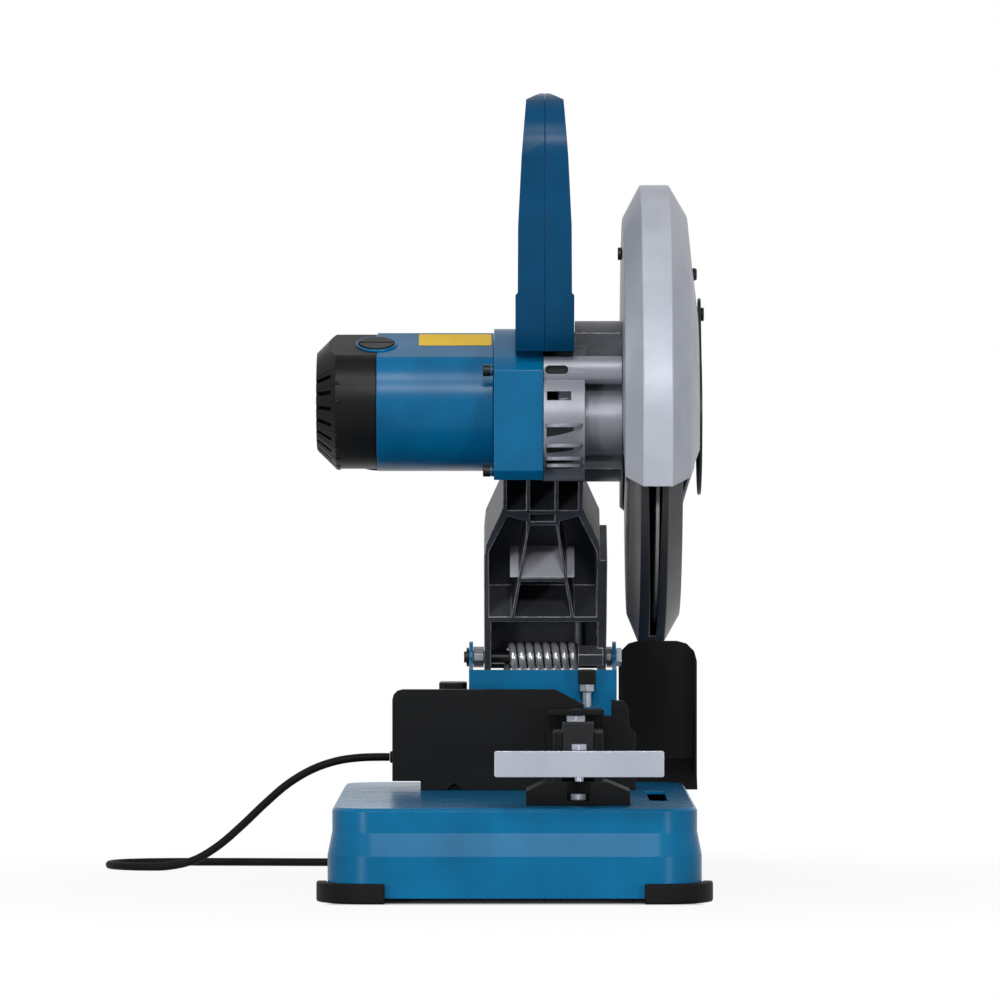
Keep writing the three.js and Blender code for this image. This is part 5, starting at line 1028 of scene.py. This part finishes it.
@dataclass
class MotorHead(SubAssembly):
    """The motor, its collar and the gear housing, with ribs, vanes, screws and the label."""

    motor: tuple[float, float] = (79.926, 421.946)  # its axis's Y and Z
    facet: float = 52.8  # from the motor's axis to its flat facet
    tilt: float = 69.5  # of the facet, in degrees
    cap_left: float = -173.9  # X of the end cap's end
    cone: float = 17.0  # length and rise of the end cap's cone
    cap_radius: float = 59.5
    hub: tuple[float, ...] = (3.4, 15.0, 16.4, 23.0)  # the baffle's two ends and two radii
    rib_count: int = 24
    rib_half: float = 1.5  # half its width
    rib_lift: tuple[float, float] = (-1.2, 1.1)  # a rib's foot and crest, from the cone
    rib_start: float = 0.6  # from the end of the cap
    rib_over: float = 3.0  # past the cone
    rib_slope: float = 1.16  # a rib's whole rise, as a multiple of the cone's
    facet_half: float = 36.0  # no rib lies within this angle of the facet, in degrees
    label_x: float = -52.3  # X of its middle
    label_lift: float = 12.4  # up the facet, from its middle
    label_size: tuple[float, float] = (64.0, 29.0)
    label_corner: float = 2.0
    label_thick: float = 0.4
    label_off: float = 0.05  # from the facet
    brush_x: float = -121.4  # X of the front brush cap
    ring: tuple[float, float] = (16.1, 18.3)  # the brush seat's inner and outer radius
    ring_span: tuple[float, float] = (-0.4, 1.6)  # its foot and top, from the facet
    ring_chamfer: float = 0.5
    screw: tuple[float, float] = (-18.3, -2.0)  # X and Y of the collar's screws
    screw_heights: tuple[float, float] = (448.0, 360.7)
    screw_profile: tuple[tuple[float, float], ...] = (  # pairs of X and radius
        (0, 0.5), (0, 5.0), (-1.5, 5.0), (-1.5, 4.1), (-3.0, 4.1), (-3.0, 5.2),
        (-8.8, 5.2), (-9.4, 4.6), (-9.4, 2.2), (-7.0, 2.2), (-7.0, 0.5),
    )
    drum_radius: float = 54.0
    louvre_left: float = 26.6
    louvre_right: float = 58.6
    louvre_lips: tuple[float, ...] = (401.7, 384.2, 373.0, 367.0)  # Z of their upper faces
    louvre_thick: float = 3.4
    louvre_bow: float = 9.0  # how far a lip stands out from the drum
    louvre_power: float = 0.35  # the lower, the fuller the bow's ends
    louvre_root: float = 4.0  # how far it runs into the drum
    # The gap_ fields size black plates of painted shade in the gaps under the louvres.
    gap_heights: tuple[float, ...] = (8.0, 4.6, 2.2, 1.6)  # at the left end, over gap_least
    gap_inset: float = 1.0
    gap_right: float = 50.0
    gap_proud: float = 0.5  # how far it stands out from the drum
    gap_least: float = 0.2
    gap_taper: float = 0.9  # the part that is lost towards the right
    slot_corner: tuple[float, float] = (26.5, 444.7)  # X and Z of its lower left corner
    slot_size: tuple[float, float] = (20.0, 7.4)
    # A black plate of painted shade lies on the slot's floor, where shade falls in the opening.
    slot_floor: float = 1.9  # Y
    slot_play: float = 0.2  # between the floor plate and the slot's walls
    slot_thick: float = 0.6
    # The pad_ fields place a pale plate: a milled face whose paleness is partly a painted
    # highlight.
    pad_height: float = 108.1  # along the arm from its pivot
    pad_depths: tuple[float, float] = (-29.0, 19.8)  # square to the arm
    pad_sides: tuple[float, float] = (-4.2, 53.3)
    pad_corner: float = 0.6
    pad_thick: float = 0.5

    def facet_axes(self) -> tuple[np.ndarray, np.ndarray]:
        """The direction up the motor's flat facet and the one square to it, out of the motor."""
        sin, cos = math.sin(math.radians(self.tilt)), math.cos(math.radians(self.tilt))
        return np.array([0, sin, cos]), np.array([0, -cos, sin])

    def add_details(self) -> None:
        """Adds the ribs, baffle, vanes, screws and the blank label."""
        self.add("end_cap_ribs", self.ribs(), BLACK_NYLON, "head", "black_plastic", 0.35)
        near, far, inner, outer = self.hub
        hub = [(near, inner), (near, outer), (far, outer), (far, inner)]
        baffle = turned(hub, X_AXIS, (self.cap_left, *self.motor), sides=48, closed=True)
        self.add("end_cap_baffle", baffle, BLACK_NYLON, "head", "black_plastic")
        vanes = self.vanes()
        self.add("gear_housing_vanes", vanes, DIE_CAST_ALUMINIUM, "head", "bare_casting", 0.5)
        # Black plates of painted shade, in the gaps under the louvres and in the rail's slot.
        self.add("gear_housing_gap_shade_plates", self.gaps(), BLACK_OXIDE_AND_SHADE, "head", "black_oxide")
        # A pale plate on the arm's cross rib, partly a painted highlight.
        self.add("arm_pad_painted_highlight", self.milled_pad_highlight(), HIGHLIT_MILLED_ALUMINIUM, "head", "bare_casting")
        up, out = self.facet_axes()
        facet = np.array([0.0, *self.motor]) + out * self.facet
        centre = facet + out * self.label_off + up * self.label_lift + X_AXIS * self.label_x
        outline = rounded_box(*self.label_size, self.label_corner)
        label = prism(outline, centre, X_AXIS, up, self.label_thick)
        self.add("blank_label", label, YELLOW_VINYL, "head", "blue_plastic")
        (inner, outer), (foot, top), cut = self.ring, self.ring_span, self.ring_chamfer
        side = top - cut
        rim = [(foot, inner), (side, inner), (top, inner + cut), (top, outer - cut)]
        rim += [(side, outer), (foot, outer)]
        place = facet + X_AXIS * self.brush_x
        seat = turned(rim, out, place, sides=64, closed=True)
        self.add("brush_seat_ring", seat, BLUE_NYLON, "head", "blue_plastic", 0.3)
        places = [(*self.screw, height) for height in self.screw_heights]
        heads = [turned(self.screw_profile, X_AXIS, place, sides=24) for place in places]
        self.add("collar_screws", joined(*heads), BLACK_OXIDE_AND_SHADE, "head", "black_oxide")

    def ribs(self) -> Shape:
        """Ribs on the end cap's cone, each a thin bar that runs from the end to the rim.

        Returns:
            The points and the faces.
        """
        share = np.linspace(0, 1, 7)[:, None]
        x = self.cap_left + self.rib_start + (self.cone + self.rib_over) * share
        rise = self.cone * share * self.rib_slope
        radius = np.minimum(self.cap_radius - self.cone + rise, self.cap_radius)
        foot, crest = self.rib_lift
        lift = np.array([foot, crest, crest, foot])
        aside = np.array([-1, -1, 1, 1]) * self.rib_half / radius
        ribs = []
        for rib in range(self.rib_count):
            first = 2 * math.pi * rib / self.rib_count
            away = (first - math.radians(180 - self.tilt) + math.pi) % (2 * math.pi) - math.pi
            if abs(away) >= math.radians(self.facet_half):
                ribs.append(capped(round_x(x, self.motor, radius + lift, first + aside)))
        return joined(*ribs)

    def drum_front(self, height: np.ndarray, radius: float) -> np.ndarray:
        """The Y of the front of a drum about the gear housing's axis, at a height."""
        y, z = WHEEL_AXIS
        return y - np.sqrt(radius**2 - (z - height) ** 2)

    def vanes(self) -> Shape:
        """Level cooling louvres in front of the gear housing: each lip is a bow in plan.

        Returns:
            The points and the faces.
        """
        left, right = self.louvre_left, self.louvre_right
        share = np.linspace(0, 1, 25)
        x = left + (right - left) * share
        vanes = []
        for lip in self.louvre_lips:
            back = self.drum_front(lip, self.drum_radius)
            bow = back - self.louvre_bow * np.sin(math.pi * share) ** self.louvre_power
            root = back + self.louvre_root
            outline = np.concatenate([np.stack([x, bow], axis=1), [[right, root], [left, root]]])
            low = np.array([0.0, 0.0, lip - self.louvre_thick])
            vanes.append(prism(outline, low, X_AXIS, Y_AXIS, self.louvre_thick))
        return joined(*vanes)

    def gaps(self) -> Shape:
        """Black plates of painted shade in the gaps under the louvres, narrower to the right,
        and on the floor of the rail's slot.

        Returns:
            The points and the faces.
        """
        share = np.linspace(0, 1, 13)
        x = self.louvre_left + self.gap_inset + (self.gap_right - self.louvre_left) * share
        proud, sunk = self.drum_radius + self.gap_proud, self.drum_radius - 2 * self.gap_proud
        plates = []
        for lip, drop in zip(self.louvre_lips, self.gap_heights):
            top = np.full_like(x, lip - self.louvre_thick)
            low = top - self.gap_least - drop * np.sqrt(1 - self.gap_taper * share)
            edges = ((top, proud), (top, sunk), (low, sunk), (low, proud))
            lines = [np.stack([x, self.drum_front(z, r), z], axis=1) for z, r in edges]
            plates.append(capped(np.stack(lines, axis=1)))
        (left, low), (width, height) = self.slot_corner, self.slot_size
        middle = np.array([left + width / 2, self.slot_floor, low + height / 2])
        play = self.slot_play
        outline = rounded_box(width - 2 * play, height - 2 * play, height / 2 - 1.5 * play)
        plates.append(prism(outline, middle, X_AXIS, Z_AXIS, self.slot_thick))
        return joined(*plates)

    def milled_pad_highlight(self) -> Shape:
        """The pale machined face on top of the arm's cross rib: a thin plate square to the web.

        Its paleness is partly a painted highlight, for the light on the rib's top face.

        Returns:
            The points and the faces.
        """
        lean = math.radians(ARM_LEAN)
        along = np.array([0, -math.sin(lean), math.cos(lean)])
        out = np.array([0, math.cos(lean), math.sin(lean)])
        left, right = self.pad_sides
        front, back = self.pad_depths
        foot = np.array([(left + right) / 2, *PIVOT])
        middle = foot + along * self.pad_height + out * (front + back) / 2
        outline = rounded_box(right - left, back - front, self.pad_corner)
        return prism(outline, middle, X_AXIS, out, self.pad_thick)


@dataclass
class WheelGuards(SubAssembly):
    """The fixed guard and the moving guard, each a bent section carried round the wheel's axis."""

    fixed_span: tuple[float, float] = (153.7, 376.6)  # angles from straight ahead, in degrees
    fixed_section: tuple[tuple[float, float], ...] = (  # pairs of X and radius
        (94, 30.3), (94, 176), (109, 205), (134, 205), (150, 178), (154.75, 133), (159.5, 96),
        (159.5, 62), (156.5, 62), (156.5, 94.5), (151.75, 133), (147, 176), (132.5, 202),
        (110.5, 202), (97, 174.5), (97, 30.3),
    )
    fixed_steps: int = 112
    moving_span: tuple[float, float] = (9.0, 160.0)
    moving_steps: int = 90
    moving_section: tuple[tuple[float, float], ...] = (
        (98, 30.5), (98, 171), (107.5, 194), (112.5, 194), (127, 194), (130.5, 194), (143.5, 171),
        (143.5, 58), (141.3, 58), (141.3, 169.9), (129.4, 191.8), (127, 191.8), (112.5, 191.8),
        (108.6, 191.8), (100.2, 169.9), (100.2, 30.5),
    )
    slot_end: float = 0.978  # sine of the angle at which the moving guard's slot ends
    slot_taper: float = 4.6  # how far each edge of the slot closes in
    screw_place: tuple[float, float] = (154.9, 532.6)  # X and Z of the second screw
    screw_profile: tuple[tuple[float, float], ...] = (  # pairs of X and radius
        (-1.5, 2.0), (1.2, 5.6), (2.6, 5.6), (4.4, 4.6), (4.4, 2.0), (3.2, 2.0),
    )

    def carried(self, section: np.ndarray, span: tuple[float, float], steps: int) -> np.ndarray:
        """Carries a section round the wheel's axis, from straight ahead (0) down to the rear (180).

        Args:
            section: Pairs of X and radius, for all angles or one row for each.
            span: First and last angle, in degrees.
            steps: Number of steps between them.

        Returns:
            Points by angle and place in the section.
        """
        angle = np.radians(np.linspace(*span, steps + 1))[:, None]
        section = np.broadcast_to(section, (steps + 1, *section.shape[-2:]))
        return round_x(section[..., 0], WHEEL_AXIS, -section[..., 1], angle)

    def add_details(self) -> None:
        """Adds both guards and the fixed guard's second screw."""
        section = np.array(self.fixed_section, float)
        shell = capped(self.carried(section, self.fixed_span, self.fixed_steps))
        guard = self.add("upper_guard_shell", shell, SILVER_ENAMEL, "head", "silver_enamel", 0.9)
        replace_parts(guard, "upper_guard")
        shell, slot = self.slotted(), "dark_enamel"
        lower = self.add("lower_guard_shell", shell, GRAPHITE_ENAMEL, "lower_guard", slot, 0.6)
        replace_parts(lower, "lower_guard")
        x, z = self.screw_place
        head = turned(self.screw_profile, X_AXIS, (x, WHEEL_AXIS[0], z), sides=24)
        self.add("guard_side_screw", head, BLACK_OXIDE_AND_SHADE, "head", "black_oxide")

    def slotted(self) -> Shape:
        """The moving guard: its rim is open between two edges that close in as they go down.

        Returns:
            The points and the faces.
        """
        (first, last), steps = self.moving_span, self.moving_steps
        end_angle = math.degrees(math.asin(self.slot_end))
        slot_steps = int((end_angle - first) / (last - first) * steps)
        angle = np.radians(np.linspace(first, last, steps + 1))
        drop = np.clip(np.sin(angle) / self.slot_end, 0, 1)[:, None]
        section = np.repeat(np.array(self.moving_section, float)[None], steps + 1, axis=0)
        # Places 3 and 12 of the section are the slot's left edge, outside and inside, and
        # places 4 and 11 are its right edge.
        section[:, [3, 12], 0] += self.slot_taper * drop
        section[:, [4, 11], 0] -= self.slot_taper * drop
        rows = self.carried(section, self.moving_span, steps)
        count = len(self.moving_section)
        quads = grid_faces(len(rows), count, False, True)
        row, column = quads[:, 0] // count, quads[:, 0] % count
        open_quads = (row < slot_steps) & ((column == 3) | (column == 11))
        faces = list(quads[~open_quads])
        step = np.arange(slot_steps) * count
        for a, b in ((12, 3), (4, 11)):
            below = step + count
            faces += list(np.stack([step + a, step + b, below + b, below + a], axis=1))
        end = slot_steps * count
        faces.append([end + 3, end + 4, end + 11, end + 12])
        faces += [[0, 1, 2, 3, 12, 13, 14, 15], [4, 5, 6, 7, 8, 9, 10, 11]]
        tail = (len(rows) - 1) * count
        faces.append(list(range(tail, tail + count)))
        return rows.reshape(-1, 3), faces


@dataclass
class Drive(SubAssembly):
    """The wheel and what turns with it and with the motor."""

    wheel_profile: tuple[tuple[float, float], ...] = (  # pairs of X and radius
        (120.4, 12.7), (120.4, 176.9), (121.0, 177.5), (123.0, 177.5), (123.6, 176.9),
        (123.6, 12.7), (122.0, 12.7),
    )

    def add_details(self) -> None:
        """Adds the cutting wheel: a thin ring with a slightly rounded rim."""
        centre = (0.0, *WHEEL_AXIS)
        wheel = turned(self.wheel_profile, X_AXIS, centre, sides=160, closed=True)
        piece = self.add("abrasive_disc", wheel, RESIN_BONDED_GRIT, "wheel_set", "abrasive")
        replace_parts(piece, "cutting_wheel")


def sub_assemblies(frame: PackedFrame) -> list[SubAssembly]:
    """All sub-assemblies with their nodes' finishes and edge radii.

    Args:
        frame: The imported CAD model.

    Returns:
        The sub-assemblies in the order in which they are built.
    """
    named = ("front_left", "front_right", "rear_left", "rear_right")
    feet = {f"foot_{corner}": (BLACK_RUBBER, 1.6) for corner in named}
    supply = {
        "cord_box": (BLACK_NYLON, 1.4),
        "strain_relief": (BLACK_RUBBER, 0.5),
        "plug": (BLACK_NYLON, 1.2),
    }
    base = {
        "base_plate": (BLUE_POWDER_COAT, 2.2, (15.0, 68.0)),
        "spark_guard": (BLACK_POWDER_COAT, 0.6),
        "spark_guard_strip": (ZINC_STEEL, 0.4),
        **feet,
    }
    pivot = {
        "pivot_bracket": (BLUE_POWDER_COAT, 0.8),
        "bracket_studs": (ZINC_STEEL, 0.5),
        "pivot_shaft": (BLACK_OXIDE_AND_SHADE, 0.4),
        "pivot_nut": (ZINC_STEEL, 0.5),
        "pivot_bushing_left": (DULL_ZINC, 0.6),
        "pivot_bushing_right": (DULL_ZINC, 0.6),
        "stop_screw": (ZINC_STEEL, 0.8),
    }
    work_holding = {
        "fence": (BLACK_POWDER_COAT, 0.8),
        "fence_bolt_left": (ZINC_STEEL, 0.5),
        "fence_bolt_right": (ZINC_STEEL, 0.5),
        "vise_bracket": (BLACK_POWDER_COAT, 0.8),
        "vise_bolt": (ZINC_STEEL, 0.6),
        "half_nut": (BLACK_OXIDE_AND_SHADE, 0.8),
        "vise_screw": (ZINC_STEEL, 0.4),
        "vise_handle": (ZINC_STEEL, 1.6),
        "handle_bolt": (ZINC_STEEL, 0.6),
        "jaw_yoke": (PAINTED_CASTING, 1.0),
        "vise_jaw": (BLACK_POWDER_COAT, 1.0),
        "jaw_bolt": (ZINC_STEEL, 0.6),
    }
    head = {
        "arm": (PAINTED_CASTING, 1.1),
        "motor_collar": (BLUE_NYLON, 1.2),
        "motor_housing": (BLUE_NYLON, 0.6),
        "end_cap": (BLACK_NYLON, 1.0),
        "gear_housing": (DIE_CAST_ALUMINIUM, 1.4),
        "brush_cap_front": (BLACK_NYLON, 0.8),
        "brush_cap_rear": (BLACK_NYLON, 0.8),
        "stator": (MOTOR_LAMINATIONS, 0.3),
        "rotor_bearing_front": (ZINC_STEEL, 0.3),
        "rotor_bearing_rear": (ZINC_STEEL, 0.3),
        "spindle_bearing": (ZINC_STEEL, 0.3),
        # The handle shells take the blue nylon painted darker for the shade on them.
        "handle_left": (SHADED_BLUE_NYLON, 4.0),
        "handle_right": (SHADED_BLUE_NYLON, 4.0),
        "trigger": (BLACK_NYLON, 1.6),
        "switch_block": (BLACK_NYLON, 0.6),
        "lock_button": (BLACK_NYLON, 0.8),
    }
    guards = {
        "guard_screw": (BLACK_OXIDE_AND_SHADE, 0.6),
        "arbor_cover": (GRAPHITE_ENAMEL, 0.7),
        "cover_screw": (BLACK_OXIDE_AND_SHADE, 0.6),
    }
    drive = {
        "rotor": (MOTOR_LAMINATIONS, 0.2),
        "spindle_gear": (ZINC_STEEL, 0.2),
        "spindle": (ZINC_STEEL, 0.4),
        "outer_flange": (ZINC_STEEL, 0.8),
        "arbor_bolt": (ZINC_STEEL, 0.7),
    }
    return [
        SupplyCord(frame, supply),
        SubAssembly(frame, base),
        PivotAssembly(frame, pivot),
        SubAssembly(frame, work_holding),
        MotorHead(frame, head),
        WheelGuards(frame, guards),
        Drive(frame, drive),
    ]


def main() -> None:
    """Builds the scene."""
    logging.basicConfig(level=logging.INFO, format="%(name)s: %(message)s")
    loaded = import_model()
    Studio().build()
    frame = PackedFrame(loaded)
    for group in sub_assemblies(frame):
        group.build()


if __name__ == "__main__":
    main()
